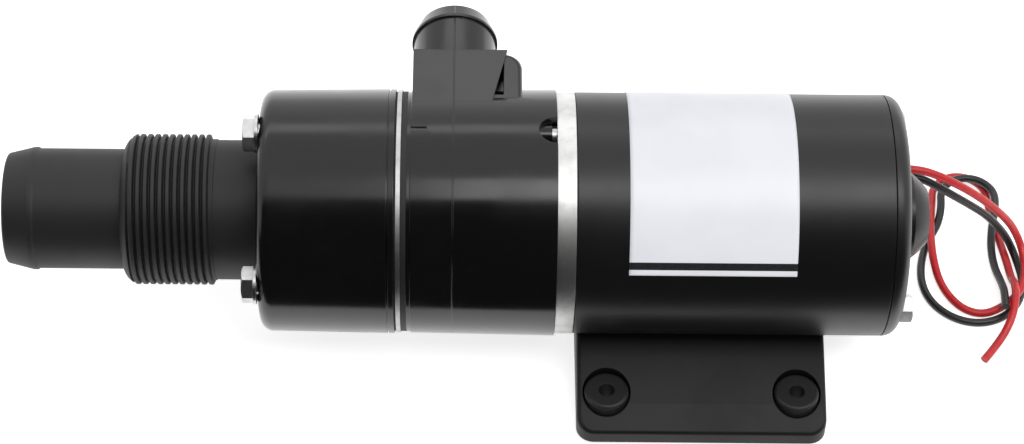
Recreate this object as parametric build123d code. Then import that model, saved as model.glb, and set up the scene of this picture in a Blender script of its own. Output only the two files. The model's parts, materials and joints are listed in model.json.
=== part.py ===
from build123d import *
import math
import os

os.makedirs("parts", exist_ok=True)

# All lengths are in millimetres. +X runs along the pump from inlet to motor, +Y is the outlet's side,
# +Z is up. The origin is the centre of the four mounting holes, on the surface that the feet stand on.
# The pump is drawn about the X axis and lifted to its height when it is saved.

# Fits
RUNNING_GAP = 0.05
SLIDING_GAP = 0.15
FREE_GAP = 0.3
ASSEMBLY_GAP = 0.1
OVERCUT = 1.0
SAME_PLACE = 0.01

# Height and stations
FOOT_PROUD = 1.5
BASE_UNDER_CAN = 5.9
CAN_FRONT = -41.1

# Motor
CAN_RADIUS = 38.1
CAN_WALL = 3.0
CAN_LENGTH = 97.4
CAN_END_CHAMFER = 0.4
BELL_RIM = 4.9
BELL_WALL = 3.5
BELL_EDGE_RADIUS = 4.6
BELL_REGISTER = 3.0
BELL_REGISTER_WALL = 2.8
BOSS_RADIUS = 14.2
BOSS_TIP_RADIUS = 8.8
BOSS_LENGTH = 9.4
BOSS_SHOULDER = 4.3
BOSS_DRAFT = 0.5
BOSS_KNEE_SHARE = 0.5
BOSS_BULGE = 0.1
MAGNET_THICKNESS = 8.1
MAGNET_LENGTH = 52.0
MAGNET_ARC = 124.0
AIR_GAP = 0.7
CORE_LENGTH = 46.0
CORE_FRONT_SPACE = 15.5
SLOT_COUNT = 12
SLOT_MOUTH = 2.0
SLOT_WIDTH = 5.0
SLOT_DEPTH = 9.5
TOOTH_TIP = 1.6
END_TURN_LENGTH = 8.0
END_TURN_RADIUS = 23.0
END_TURN_SHAFT_SPACE = 1.5
BAR_OVERLAP = 0.5
COMMUTATOR_RADIUS = 11.5
COMMUTATOR_HUB_RADIUS = 8.0
COMMUTATOR_LENGTH = 12.0
COMMUTATOR_SPACE = 1.5
COMMUTATOR_SLIT = 0.5
COMMUTATOR_SLIT_DEPTH = 1.0
BRUSH_WIDTH = 6.0
BRUSH_BREADTH = 8.0
BRUSH_LENGTH = 13.0
BRUSH_BOX_WALL = 0.9
BRUSH_BOX_LENGTH = 11.0
BRUSH_BOX_START = 2.5
BRUSH_SPRING_RADIUS = 2.6
BRUSH_SPRING_WIRE = 0.6
BRUSH_SPRING_LENGTH = 7.5
SPRING_POST = 1.5
BRUSH_PLATE_THICKNESS = 2.5
BRUSH_PLATE_HOLE = 14.5
CUTOUT_LENGTH = 13.0
CUTOUT_BREADTH = 7.0
CUTOUT_THICKNESS = 4.5
CUTOUT_ANGLE = 165.0
CUTOUT_CIRCLE = 24.0
THROUGH_BOLT_RADIUS = 2.5
THROUGH_BOLT_CIRCLE = 30.5
THROUGH_BOLT_ANGLES = (22.0, 202.0)
THROUGH_BOLT_HEAD_AF = 8.0
THROUGH_BOLT_HEAD = 3.8
THROUGH_BOLT_GRIP = 7.0

# Ball bearings
BEARING_BORE_RADIUS = 4.0
BEARING_RADIUS = 11.0
BEARING_WIDTH = 7.0
BEARING_INNER_LAND = 5.9
BEARING_OUTER_LAND = 9.1
BALL_RADIUS = 1.98
BALL_COUNT = 7
CAGE_HALF_HEIGHT = 0.8
CAGE_RIM = 0.8
WAVE_WASHER_THICKNESS = 0.6
WAVE_WASHER_INNER = 7.8
REAR_SEAT_SETBACK = 1.8

# Front bracket
BRACKET_RIM_RADIUS = 38.2
BRACKET_RIM = 5.8
BRACKET_SPIGOT_RADIUS = 26.6
BRACKET_SPIGOT = 5.0
BRACKET_LIP = 3.0
BRACKET_REGISTER = 3.0
BRACKET_REGISTER_WALL = 5.0
BRACKET_POCKET_INNER = 14.5
BRACKET_POCKET_OUTER = 25.5
BRACKET_POCKET_DEPTH = 4.5
BRACKET_SHAFT_HOLE = 5.5

# Shaft
SHAFT_RADIUS = 4.0
SHAFT_CORE_RADIUS = 5.0
SHAFT_THREAD_RADIUS = 3.0
SHAFT_BEYOND_NUT = 1.3
SHAFT_END_CHAMFER = 0.5
SHAFT_REAR_SETBACK = 0.4

# Pump body
BODY_LENGTH = 46.3
BODY_FRONT_RADIUS = 38.3
BODY_REAR_RADIUS = 38.9
BODY_LIP_RADIUS = 37.9
BODY_LIP = 1.2
CHAMBER_RADIUS = 27.5
CHAMBER_IN_BODY = 26.4
BACK_WALL = 9.0
SHAFT_HOLE_GAP = 0.5
CAM_ANGLE = -35.0
CAM_HALF_ARC = 40.0
CAM_RISE = 4.5
WEEP_NOTCH_RADIUS = 5.3
WEEP_NOTCH_ANGLE = 89.0
WEEP_NOTCH_OVERRUN = 0.4
WEEP_NOTCH_FLOOR_WALL = 0.6
BOLT_COLUMN_RADIUS = 4.1
BOLT_COLUMN_LENGTH = 20.0
BOLT_COLUMN_STOP = 1.6
KEY_SLOT_LENGTH = 4.8
KEY_SLOT_BREADTH = 1.4
KEY_SLOT_DEPTH = 0.4
KEY_SLOT_ANGLE = 88.5

# Outlet
OUTLET_FROM_BODY_FRONT = 14.3
OUTLET_HEIGHT = 15.3
OUTLET_BORE = 10.5
OUTLET_SPIGOT_RADIUS = 13.2
OUTLET_BEAD_RADIUS = 13.85
OUTLET_TIP_RADIUS = 11.7
OUTLET_BEAD_AT = 58.0
OUTLET_BEAD_LAND = 1.0
OUTLET_BEAD_BACK = 0.2
OUTLET_TIP_AT = 64.6
OUTLET_BORE_START = 11.0
BLOCK_END = 36.9
BLOCK_HALF_HEIGHT = 20.3
BLOCK_FROM_BODY_FRONT = 1.4
PAD_WIDTH_AT_END = 29.6
PAD_WIDTH_AT_BODY = 24.9
PAD_WIDTH_AT_AXIS = 20.9
PAD_CREASE = 15.3
SHOULDER_WIDTH = 34.3
SHOULDER_DROP = 1.0
SHOULDER_CORNER_RADIUS = 6.0
SHOULDER_EDGE_RADIUS = 2.0
RECESS_DEPTH = 4.0
RECESS_WIDTH = 4.5
RECESS_UNDER_PAD = 1.0
RECESS_FROM_END = 1.5
RECESS_ABOVE_CREASE = 3.4

# Plates and gasket between body and head
GASKET = 1.8
GASKET_RADIUS = 37.9
WEAR_PLATE = 1.4
WEAR_PLATE_RADIUS = 38.3
HEAD_SEAL = 0.6
HEAD_SEAL_RADIUS = 37.8
CHOPPER = 3.0
CHOPPER_RADIUS = 28.1
CHOPPER_SLOT_COUNT = 6
CHOPPER_SLOT_ARC = 24.0
CHOPPER_SLOT_RADIUS = 17.5
CHOPPER_SLOT_HALF_WIDTH = 4.5
INTAKE_START_ANGLE = 205.0
INTAKE_END_ANGLE = 275.0
INTAKE_RADIUS = 19.0
INTAKE_HALF_WIDTH = 5.0

# Inlet housing
HEAD_LENGTH = 42.1
HEAD_FRONT_RADIUS = 38.1
HEAD_REAR_RADIUS = 38.6
HEAD_CORNER_RADIUS = 4.0
HEAD_WALL = 8.0
CUTTER_CHAMBER_RADIUS = 26.5
RIM_GROOVE_WIDTH = 0.5
RIM_GROOVE_DEPTH = 0.5
RIM_GROOVE_FROM_RIM = 1.7
NECK_LENGTH = 14.1
NECK_RADIUS = 22.1
THREAD_LENGTH = 29.2
THREAD_MAJOR_RADIUS = 23.8
THREAD_MINOR_RADIUS = 22.35
THREAD_PITCH = 2.309
THREAD_ROOT_SHARE = 0.92
THREAD_CREST_SHARE = 0.52
THREAD_CREST_ROUND = 0.18
THREAD_BURY = 0.2
THREAD_STEP = 0.4
THREAD_LEAD_IN = 3.9
THREAD_LEAD_BULGE = 0.5
THREAD_RUN_OUT = 1.4
SPIGOT_LENGTH = 37.0
SPIGOT_RADIUS = 19.0
SPIGOT_BEAD_RADIUS = 19.4
SPIGOT_TIP_RADIUS = 17.6
SPIGOT_TIP_ROUND = 1.0
SPIGOT_BEAD_FROM_TIP = 8.2
SPIGOT_BEAD_LAND = 1.2
SPIGOT_BEAD_BACK = 0.7
INLET_BORE = 16.0

# Rotating parts of the wet end
IMPELLER_SIDE_GAP = 0.25
IMPELLER_HUB_RADIUS = 10.5
INSERT_RADIUS = 7.5
INSERT_SETBACK = 1.0
KEY_SIZE = 2.0
KEY_SET_IN = 1.0
VANE_COUNT = 6
VANE_THICKNESS = 3.0
VANE_TIP_RADIUS = 2.0
VANE_ROOT = 9.0
VANE_CHORD = 16.6
VANE_FIRST_ANGLE = -35.0
VANE_BOW = 2.0
BLADE_GAP = 0.6
BLADE_THICKNESS = 3.0
BLADE_RADIUS = 24.0
BLADE_BREADTH = 13.0
BLADE_HUB_RADIUS = 8.5
CUTTER_WASHER_THICKNESS = 1.5
CUTTER_WASHER_RADIUS = 7.0
CUTTER_NUT_AF = 10.0
CUTTER_NUT_THICKNESS = 6.0

# Shaft seal and slinger
SEAL_RADIUS = 11.0
SEAL_WIDTH = 7.0
SEAL_CASE = 1.4
SEAL_BACK = 1.6
SEAL_LIP_WALL = 1.2
GARTER_WIRE_RADIUS = 0.7
SLINGER_RADIUS = 9.0
SLINGER_THICKNESS = 2.0
SLINGER_FROM_SEAL = 1.2

# Head bolts
BOLT_RADIUS = 3.0
BOLT_HOLE_RADIUS = 3.3
BOLT_CIRCLE = 33.0
BOLT_COUNT = 4
BOLT_FIRST_ANGLE = -5.5
BOLT_HEAD_AF = 10.2
BOLT_HEAD = 3.7
BOLT_WASHER_RADIUS = 6.0
BOLT_WASHER = 1.0
BOLT_IN_BRACKET = 5.2
HEX_CHAMFER_ANGLE = 30.0
HEX_CHAMFER_INSET = 0.1

# Base and feet
BASE_LENGTH = 78.8
BASE_WIDTH = 114.8
BASE_CORNER_RADIUS = 5.5
BASE_LIP = 5.0
BASE_LIP_ROUND = 1.6
BASE_SADDLE_HALF_WIDTH = 26.0
BASE_KNEE_ACROSS = 0.72
BASE_KNEE_UP = 0.28
BASE_KNEE_BULGE = 0.5
BASE_SHELL = 2.8
BASE_RIB = 2.5
FOOT_SPACING_X = 60.0
FOOT_SPACING_Y = 90.0
FOOT_BOSS_RADIUS = 10.3
FOOT_RECESS_RADIUS = 7.6
FOOT_DISC_RADIUS = 7.05
FOOT_DISC_TOP = 10.9
FOOT_DISC_ROUND = 1.1
FOOT_SOLE_CHAMFER = 0.5
FOOT_NECK_RADIUS = 4.5
FOOT_HOLE_RADIUS = 2.5
FOOT_WEB_BOTTOM = 2.6
FOOT_WEB = 3.0
BASE_SCREW_SPACING = 44.0
BASE_SCREW_RADIUS = 2.5
BASE_SCREW_HOLE_RADIUS = 2.8
BASE_SCREW_HEAD_RADIUS = 4.75
BASE_SCREW_HEAD = 2.8
BASE_SCREW_FLOOR = 3.0
BASE_SCREW_BOSS_RADIUS = 7.5
BASE_SCREW_TIP_GAP = 0.4
DRIVE_SOCKET_AF = 3.0
DRIVE_SOCKET_DEPTH = 1.4

# Label
LABEL_FRONT = -24.9
LABEL_LENGTH = 51.3
LABEL_THICKNESS = 0.15
LABEL_START_ANGLE = 20.0
LABEL_END_ANGLE = 160.0

# Leads and their grommet
LEAD_RADIUS = 1.325
LEAD_EXIT_SIDE = 19.05
LEAD_EXIT_UP = -1.0
LEAD_EXIT_SPACING = 3.4
LEAD_CROSSING_GAP = 0.5
LEAD_BEND_SHARE = 0.45
GROMMET_RADIUS = 3.9
GROMMET_FLANGE_RADIUS = 4.7
GROMMET_FLANGE = 1.5
GROMMET_INNER_END = 1.0

# Stations along X, worked out from the stack of pieces
can_rear = CAN_FRONT + CAN_LENGTH
bell_face = can_rear + BELL_RIM
boss_tip = bell_face + BOSS_LENGTH
bracket_front = CAN_FRONT - BRACKET_RIM
body_front = bracket_front - BODY_LENGTH
gasket_front = body_front - GASKET
plate_front = gasket_front - WEAR_PLATE
head_rear = plate_front - HEAD_SEAL
head_front = head_rear - HEAD_LENGTH
thread_rear = head_front - NECK_LENGTH
thread_front = thread_rear - THREAD_LENGTH
spigot_tip = thread_front - SPIGOT_LENGTH
chamber_front = gasket_front
chamber_rear = body_front + CHAMBER_IN_BODY
wall_rear = chamber_rear + BACK_WALL
chopper_front = plate_front - CHOPPER
blade_rear = chopper_front - BLADE_GAP
blade_front = blade_rear - BLADE_THICKNESS
cutter_washer_front = blade_front - CUTTER_WASHER_THICKNESS
cutter_nut_front = cutter_washer_front - CUTTER_NUT_THICKNESS
shaft_front = cutter_nut_front - SHAFT_BEYOND_NUT
seal_front = wall_rear - SEAL_WIDTH
slinger_front = wall_rear + SLINGER_FROM_SEAL
bracket_tip = bracket_front - BRACKET_SPIGOT
front_bearing_start = bracket_tip + BRACKET_LIP
front_bearing_end = front_bearing_start + BEARING_WIDTH
register_rear = CAN_FRONT + BRACKET_REGISTER
bell_inside = bell_face - BELL_WALL
rear_bearing_start = bell_inside + REAR_SEAT_SETBACK
rear_bearing_end = rear_bearing_start + BEARING_WIDTH
rear_seat_end = rear_bearing_end + WAVE_WASHER_THICKNESS + ASSEMBLY_GAP
core_front = CAN_FRONT + CORE_FRONT_SPACE
core_rear = core_front + CORE_LENGTH
core_middle = (core_front + core_rear) / 2
commutator_front = core_rear + END_TURN_LENGTH + COMMUTATOR_SPACE
commutator_rear = commutator_front + COMMUTATOR_LENGTH
commutator_middle = (commutator_front + commutator_rear) / 2
brush_plate_front = commutator_middle + BRUSH_WIDTH / 2 + BRUSH_BOX_WALL + SLIDING_GAP
brush_plate_rear = brush_plate_front + BRUSH_PLATE_THICKNESS
outlet_x = body_front + OUTLET_FROM_BODY_FRONT
block_left = body_front + BLOCK_FROM_BODY_FRONT
block_top = OUTLET_HEIGHT + BLOCK_HALF_HEIGHT
shoulder_top = block_top - SHOULDER_DROP

# Radii and angles that several pieces share
can_inside = CAN_RADIUS - CAN_WALL
register_radius = can_inside - ASSEMBLY_GAP
magnet_inside = can_inside - ASSEMBLY_GAP - MAGNET_THICKNESS
core_radius = magnet_inside - AIR_GAP
ball_circle = (BEARING_INNER_LAND + BEARING_OUTER_LAND) / 2
axis_above_base = CAN_RADIUS + BASE_UNDER_CAN
axis_height = FOOT_PROUD + axis_above_base
bolt_angles = [BOLT_FIRST_ANGLE + 360 / BOLT_COUNT * i for i in range(BOLT_COUNT)]
magnet_angles = [(THROUGH_BOLT_ANGLES[0] + THROUGH_BOLT_ANGLES[1]) / 2 + turn for turn in (0, 180)]
brush_angles = magnet_angles

# The leads' routes, chosen by hand above the floor: out of the grommet, down in a droop,
# round once on the floor, over at the far side and back to the free end.
lead_floor = LEAD_RADIUS
lead_over = 3 * LEAD_RADIUS + LEAD_CROSSING_GAP
lead_exit_x = bell_face + GROMMET_FLANGE
red_exit = (lead_exit_x, LEAD_EXIT_SIDE, axis_height + LEAD_EXIT_UP + LEAD_EXIT_SPACING / 2)
black_exit = (lead_exit_x, LEAD_EXIT_SIDE, axis_height + LEAD_EXIT_UP - LEAD_EXIT_SPACING / 2)

RED_ROUTE = [
    red_exit, (69.5, LEAD_EXIT_SIDE, red_exit[2]),
    (76.4, 18.8, 43.6), (83.0, 19.0, 39.2), (89.5, 19.8, 33.6),
    (95.8, 20.8, 27.0), (101.4, 21.8, 20.0), (105.6, 22.6, 13.6), (108.9, 19.8, 7.6),
    (109.9, 13.4, 5.0), (108.8, 6.4, lead_over), (105.9, 0.8, lead_over),
    (100.9, -3.2, 3.4), (94.8, -4.8, lead_floor),
    (88.8, -3.0, lead_floor), (84.4, 2.2, lead_floor), (81.6, 9.2, lead_floor),
    (80.2, 16.8, 3.0), (79.9, 24.0, lead_over), (80.4, 31.0, lead_over), (81.4, 37.0, 2.6),
    (82.4, 42.6, lead_floor), (83.2, 49.6, lead_floor), (88.4, 54.8, lead_floor), (95.8, 54.8, lead_floor),
    (101.0, 49.6, lead_floor), (101.4, 41.8, lead_floor),
    (102.2, 33.4, lead_floor), (103.6, 25.6, lead_floor),
    (104.8, 17.8, lead_floor), (105.5, 10.4, lead_floor),
    (105.3, 3.8, 7.0), (104.6, -3.4, 7.9), (102.7, -10.2, 5.6),
    (98.7, -16.6, 2.2), (93.0, -23.4, lead_floor),
]

BLACK_ROUTE = [
    black_exit, (69.5, LEAD_EXIT_SIDE, black_exit[2]),
    (76.4, 18.2, 39.2), (83.4, 18.8, 33.2), (90.2, 20.4, 26.4),
    (95.6, 22.4, 20.0), (100.2, 23.8, 13.4), (104.2, 24.0, 7.4),
    (106.8, 21.4, 3.4), (108.4, 16.8, lead_floor),
    (109.2, 10.6, lead_floor), (108.4, 4.2, lead_floor),
    (105.4, -1.8, lead_floor), (100.6, -6.2, lead_floor),
    (94.4, -8.4, lead_floor), (88.0, -7.8, lead_floor), (82.2, -4.6, lead_floor),
    (77.8, 0.6, lead_floor), (75.7, 7.4, lead_floor),
    (75.9, 14.6, lead_floor), (77.6, 21.8, lead_floor), (80.6, 28.4, lead_floor),
    (83.6, 33.8, lead_floor), (85.0, 39.2, 3.6),
    (85.2, 46.0, lead_over), (90.5, 51.4, lead_over), (98.1, 51.4, lead_over),
    (103.4, 46.0, lead_over), (103.0, 38.4, lead_over),
    (100.9, 30.8, lead_over), (100.0, 23.2, 2.0), (100.4, 15.4, lead_floor),
    (101.4, 7.6, 3.6), (101.6, 0.4, 6.6), (100.9, -6.2, 7.3),
]


# Helpers


def disc(radius, x_start, x_end):
    """Solid cylinder along the X axis."""
    middle = (x_start + x_end) / 2
    return Pos(middle, 0, 0) * Rot(0, 90, 0) * Cylinder(radius, x_end - x_start)


def ring(outer, inner, x_start, x_end):
    """Hollow cylinder along the X axis."""
    return disc(outer, x_start, x_end) - disc(inner, x_start - OVERCUT, x_end + OVERCUT)


def outline(start, *steps):
    """Closed face from a start point and steps: an end point, or a middle and an end of an arc."""
    edges = []
    here = start
    for step in steps:
        if isinstance(step[0], tuple):
            middle, end = step
            edges.append(ThreePointArc(here, middle, end))
        else:
            end = step
            edges.append(Line(here, end))
        here = end
    edges.append(Line(here, start))
    return make_face(Curve() + edges)


def turned(start, *steps):
    """Solid turned about the X axis from an outline of (x, radius) points."""
    return revolve(outline(start, *steps), axis=Axis.X)


def around(angle, radius):
    """Place on the circle of this radius about the X axis, at an angle from +Y towards +Z."""
    return Rot(angle, 0, 0) * Pos(0, radius, 0)


def at_angles(shape, angles, radius):
    """One copy of a shape at each angle round the X axis."""
    return [around(angle, radius) * shape for angle in angles]


def sector(inner, outer, start_angle, end_angle, x_start, x_end):
    """Part of a ring between two angles, less than 180 degrees apart."""
    reach = 2 * outer
    middle = math.radians((start_angle + end_angle) / 2)
    first = math.radians(start_angle)
    last = math.radians(end_angle)
    corners = [(0, 0)]
    for angle in (first, middle, last):
        corners.append((reach * math.cos(angle), reach * math.sin(angle)))
    wedge = extrude(Plane.YZ.offset(x_start) * make_face(Polyline(*corners, close=True)), x_end - x_start)
    return ring(outer, inner, x_start, x_end) & wedge


def arc_slot(radius, half_width, start_angle, end_angle, x_start, x_end):
    """Curved slot with round ends, as a cutter."""
    slot = sector(radius - half_width, radius + half_width, start_angle, end_angle, x_start, x_end)
    for angle in (start_angle, end_angle):
        slot += around(angle, radius) * disc(half_width, x_start, x_end)
    return slot


def hexagon(across_flats, x_start, x_end):
    """Hexagonal prism along X."""
    face = Plane.YZ.offset(x_start) * RegularPolygon(across_flats / 2, 6, major_radius=False)
    return extrude(face, x_end - x_start)


def hex_head(across_flats, x_start, x_end, washer_side_at_end=True):
    """Hex bolt head along X, with its outer corners chamfered."""
    corner = across_flats / math.sqrt(3) + HEX_CHAMFER_INSET
    flat = across_flats / 2 - HEX_CHAMFER_INSET
    slope = (corner - flat) * math.tan(math.radians(HEX_CHAMFER_ANGLE))
    if washer_side_at_end:
        cone = turned((x_start, 0), (x_start, flat), (x_start + slope, corner), (x_end, corner), (x_end, 0))
    else:
        cone = turned((x_end, 0), (x_end, flat), (x_end - slope, corner), (x_start, corner), (x_start, 0))
    return hexagon(across_flats, x_start, x_end) & cone


def lifted(shape):
    """Move a shape drawn about the X axis up to the pump's height."""
    return Pos(0, 0, axis_height) * shape


def save(node, shape):
    """Write one node's solids to its own file."""
    solids = shape if isinstance(shape, list) else [shape]
    pieces = []
    for item in solids:
        pieces.extend(item.solids())
    result = pieces[0] if len(pieces) == 1 else Compound(children=pieces)
    export_step(result, f"parts/{node}.step")


# Inlet housing


def pipe_thread():
    """External pipe thread on its barrel, cut to its lead-in and run-out."""
    start = thread_front + THREAD_PITCH / 2
    length = thread_rear - THREAD_PITCH / 3 - start
    inner = THREAD_MINOR_RADIUS - THREAD_BURY
    path = Pos(start, 0, 0) * Helix(THREAD_PITCH, length, inner, direction=(1, 0, 0))
    place = path @ 0
    outward = Vector(0, place.Y, place.Z).normalized()
    height = THREAD_MAJOR_RADIUS - THREAD_MINOR_RADIUS + THREAD_BURY
    shoulder = height - THREAD_CREST_ROUND
    half_root = THREAD_ROOT_SHARE * THREAD_PITCH / 2
    half_crest = THREAD_CREST_SHARE * THREAD_PITCH / 2
    profile = Polyline(
        (0, -half_root), (shoulder, -half_crest), (height, THREAD_CREST_ROUND - half_crest),
        (height, half_crest - THREAD_CREST_ROUND), (shoulder, half_crest), (0, half_root), close=True,
    )
    section = Plane(origin=place, x_dir=outward, z_dir=path % 0) * make_face(profile)
    ridge = sweep(section, path=path, is_frenet=True)
    barrel = disc(THREAD_MINOR_RADIUS, thread_front - THREAD_PITCH, thread_rear + THREAD_PITCH)
    return (barrel + ridge) & thread_envelope()


def thread_envelope():
    """Round shape that the thread stays inside, bulging over its lead-in."""
    foot = SPIGOT_RADIUS + THREAD_STEP
    crest = THREAD_MAJOR_RADIUS + RUNNING_GAP
    lead_end = thread_front + THREAD_LEAD_IN
    bulge = (
        (thread_front + lead_end) / 2 - THREAD_LEAD_BULGE,
        (foot + crest) / 2 + THREAD_LEAD_BULGE,
    )
    return turned(
        (thread_front, 0), (thread_front, foot), (bulge, (lead_end, crest)),
        (thread_rear - THREAD_RUN_OUT, crest), (thread_rear, NECK_RADIUS), (thread_rear, 0),
    )


def inlet_spigot():
    """Hose spigot in front of the thread, with a bead behind its rounded tip."""
    bead_start = spigot_tip + SPIGOT_BEAD_FROM_TIP
    bead_end = bead_start + SPIGOT_BEAD_LAND
    bend = SPIGOT_TIP_ROUND * (1 - math.sqrt(0.5))
    return turned(
        (spigot_tip, 0), (spigot_tip, SPIGOT_TIP_RADIUS - SPIGOT_TIP_ROUND),
        ((spigot_tip + bend, SPIGOT_TIP_RADIUS - bend), (spigot_tip + SPIGOT_TIP_ROUND, SPIGOT_TIP_RADIUS)),
        (bead_start, SPIGOT_BEAD_RADIUS), (bead_end, SPIGOT_BEAD_RADIUS),
        (bead_end + SPIGOT_BEAD_BACK, SPIGOT_RADIUS), (thread_front, SPIGOT_RADIUS), (thread_front, 0),
    )


def inlet_head():
    """Neck and cutter chamber behind the thread."""
    corner = HEAD_CORNER_RADIUS
    bend = corner * (1 - math.sqrt(0.5))
    return turned(
        (thread_rear, 0), (thread_rear, NECK_RADIUS), (head_front, NECK_RADIUS),
        (head_front, HEAD_FRONT_RADIUS - corner),
        ((head_front + bend, HEAD_FRONT_RADIUS - bend), (head_front + corner, HEAD_FRONT_RADIUS)),
        (head_rear, HEAD_REAR_RADIUS), (head_rear, 0),
    )


def inlet_housing():
    """Hose spigot, pipe thread, neck and cutter chamber in one moulding."""
    chamber_start = head_front + HEAD_WALL
    groove_end = head_rear - RIM_GROOVE_FROM_RIM
    body = inlet_spigot() + pipe_thread() + inlet_head()
    body -= disc(INLET_BORE, spigot_tip - OVERCUT, chamber_start + OVERCUT)
    body -= disc(CUTTER_CHAMBER_RADIUS, chamber_start, head_rear + OVERCUT)
    body -= disc(CHOPPER_RADIUS + ASSEMBLY_GAP, chopper_front - ASSEMBLY_GAP, head_rear + OVERCUT)
    body -= ring(HEAD_REAR_RADIUS + OVERCUT, HEAD_REAR_RADIUS - RIM_GROOVE_DEPTH,
                 groove_end - RIM_GROOVE_WIDTH, groove_end)
    drill = disc(BOLT_HOLE_RADIUS, head_front - OVERCUT, head_rear + OVERCUT)
    for hole in at_angles(drill, bolt_angles, BOLT_CIRCLE):
        body -= hole
    return body


# Plates and gaskets


def with_bolt_holes(shape, x_start, x_end):
    """Cut the four head bolt holes in a plate."""
    drill = disc(BOLT_HOLE_RADIUS, x_start - OVERCUT, x_end + OVERCUT)
    for hole in at_angles(drill, bolt_angles, BOLT_CIRCLE):
        shape -= hole
    return shape


def head_seal():
    """Thin seal between the inlet housing and the wear plate."""
    inner = CHOPPER_RADIUS + ASSEMBLY_GAP
    return with_bolt_holes(ring(HEAD_SEAL_RADIUS, inner, head_rear, plate_front), head_rear, plate_front)


def chopper_plate():
    """Fixed slotted plate that the blade shears against."""
    plate = ring(CHOPPER_RADIUS, SHAFT_RADIUS + FREE_GAP, chopper_front, plate_front)
    for i in range(CHOPPER_SLOT_COUNT):
        middle = 360 / CHOPPER_SLOT_COUNT * i
        plate -= arc_slot(CHOPPER_SLOT_RADIUS, CHOPPER_SLOT_HALF_WIDTH, middle - CHOPPER_SLOT_ARC / 2,
                          middle + CHOPPER_SLOT_ARC / 2, chopper_front - OVERCUT, plate_front + OVERCUT)
    return plate


def wear_plate():
    """Steel plate with the intake port that the impeller runs against."""
    plate = ring(WEAR_PLATE_RADIUS, SHAFT_RADIUS + FREE_GAP, plate_front, gasket_front)
    plate -= arc_slot(INTAKE_RADIUS, INTAKE_HALF_WIDTH, INTAKE_START_ANGLE, INTAKE_END_ANGLE,
                      plate_front - OVERCUT, gasket_front + OVERCUT)
    return with_bolt_holes(plate, plate_front, gasket_front)


def body_gasket():
    """Gasket between the wear plate and the pump body."""
    inner = CHAMBER_RADIUS + FREE_GAP
    return with_bolt_holes(ring(GASKET_RADIUS, inner, gasket_front, body_front), gasket_front, body_front)


# Pump body


def cam_circle():
    """Radius and centre distance of the flatter arc that cuts the chamber short at the cam."""
    half = math.radians(CAM_HALF_ARC)
    near = CHAMBER_RADIUS - CAM_RISE
    along = CHAMBER_RADIUS * math.cos(half)
    across = CHAMBER_RADIUS * math.sin(half)
    offset = (along ** 2 + across ** 2 - near ** 2) / (2 * (near - along))
    return near + offset, offset


def chamber():
    """Space that the impeller runs in, round but for the cam."""
    radius, offset = cam_circle()
    flat_side = around(CAM_ANGLE, -offset) * disc(radius, chamber_front - OVERCUT, chamber_rear)
    return disc(CHAMBER_RADIUS, chamber_front - OVERCUT, chamber_rear) & flat_side


def outlet_pad():
    """Flat topped pad beside the outlet, with a slanted edge on the motor's side."""
    return plan_block([
        (block_left, 0), (block_left + PAD_WIDTH_AT_AXIS, 0), (block_left + PAD_WIDTH_AT_BODY, PAD_CREASE),
        (block_left + PAD_WIDTH_AT_END, BLOCK_END), (block_left, BLOCK_END),
    ], block_top)


def outlet_shoulder():
    """Rounded shoulder beside the pad, a little lower."""
    right = block_left + SHOULDER_WIDTH
    shoulder = plan_block([
        (block_left, 0), (right, 0), (right, BLOCK_END), (block_left, BLOCK_END),
    ], shoulder_top)
    corner = shoulder.edges().filter_by(Axis.Z).sort_by(lambda e: e.center().X + e.center().Y)[-1]
    shoulder = fillet(corner, SHOULDER_CORNER_RADIUS)
    rim = [e for e in shoulder.edges() if e.center().X > right - SHOULDER_CORNER_RADIUS
           and abs(e.center().Z - shoulder_top) < SAME_PLACE and e.center().Y > SHOULDER_CORNER_RADIUS]
    return fillet(rim, SHOULDER_EDGE_RADIUS)


def shoulder_recess():
    """Three cornered recess between pad and shoulder, as a cutter."""
    foot_x = block_left + PAD_WIDTH_AT_BODY - RECESS_UNDER_PAD
    foot_y = PAD_CREASE + RECESS_ABOVE_CREASE
    top_x = block_left + PAD_WIDTH_AT_END - RECESS_UNDER_PAD
    face = make_face(Polyline(
        (top_x, BLOCK_END - RECESS_FROM_END), (foot_x, foot_y), (foot_x + RECESS_WIDTH, foot_y), close=True,
    ))
    return extrude(Pos(0, 0, shoulder_top - RECESS_DEPTH) * face, RECESS_DEPTH + OVERCUT)


def plan_block(corners, top):
    """Block with these plan corners, from the outlet block's bottom up to a height above the axis."""
    bottom = OUTLET_HEIGHT - BLOCK_HALF_HEIGHT
    return extrude(Pos(0, 0, bottom) * make_face(Polyline(*corners, close=True)), top - bottom)


def outlet_block():
    """Square shoulder on the body that carries the outlet."""
    return outlet_pad() + (outlet_shoulder() - shoulder_recess())


def outlet_spigot():
    """Hose spigot of the outlet, along +Y, with a bead behind its tapered tip."""
    bead_end = OUTLET_BEAD_AT + OUTLET_BEAD_LAND
    profile = outline(
        (0, 0), (OUTLET_SPIGOT_RADIUS, 0), (OUTLET_SPIGOT_RADIUS, OUTLET_BEAD_AT - OUTLET_BEAD_BACK),
        (OUTLET_BEAD_RADIUS, OUTLET_BEAD_AT), (OUTLET_BEAD_RADIUS, bead_end),
        (OUTLET_TIP_RADIUS, OUTLET_TIP_AT), (0, OUTLET_TIP_AT),
    )
    return Pos(outlet_x, 0, OUTLET_HEIGHT) * revolve(profile, axis=Axis.Y)


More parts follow.
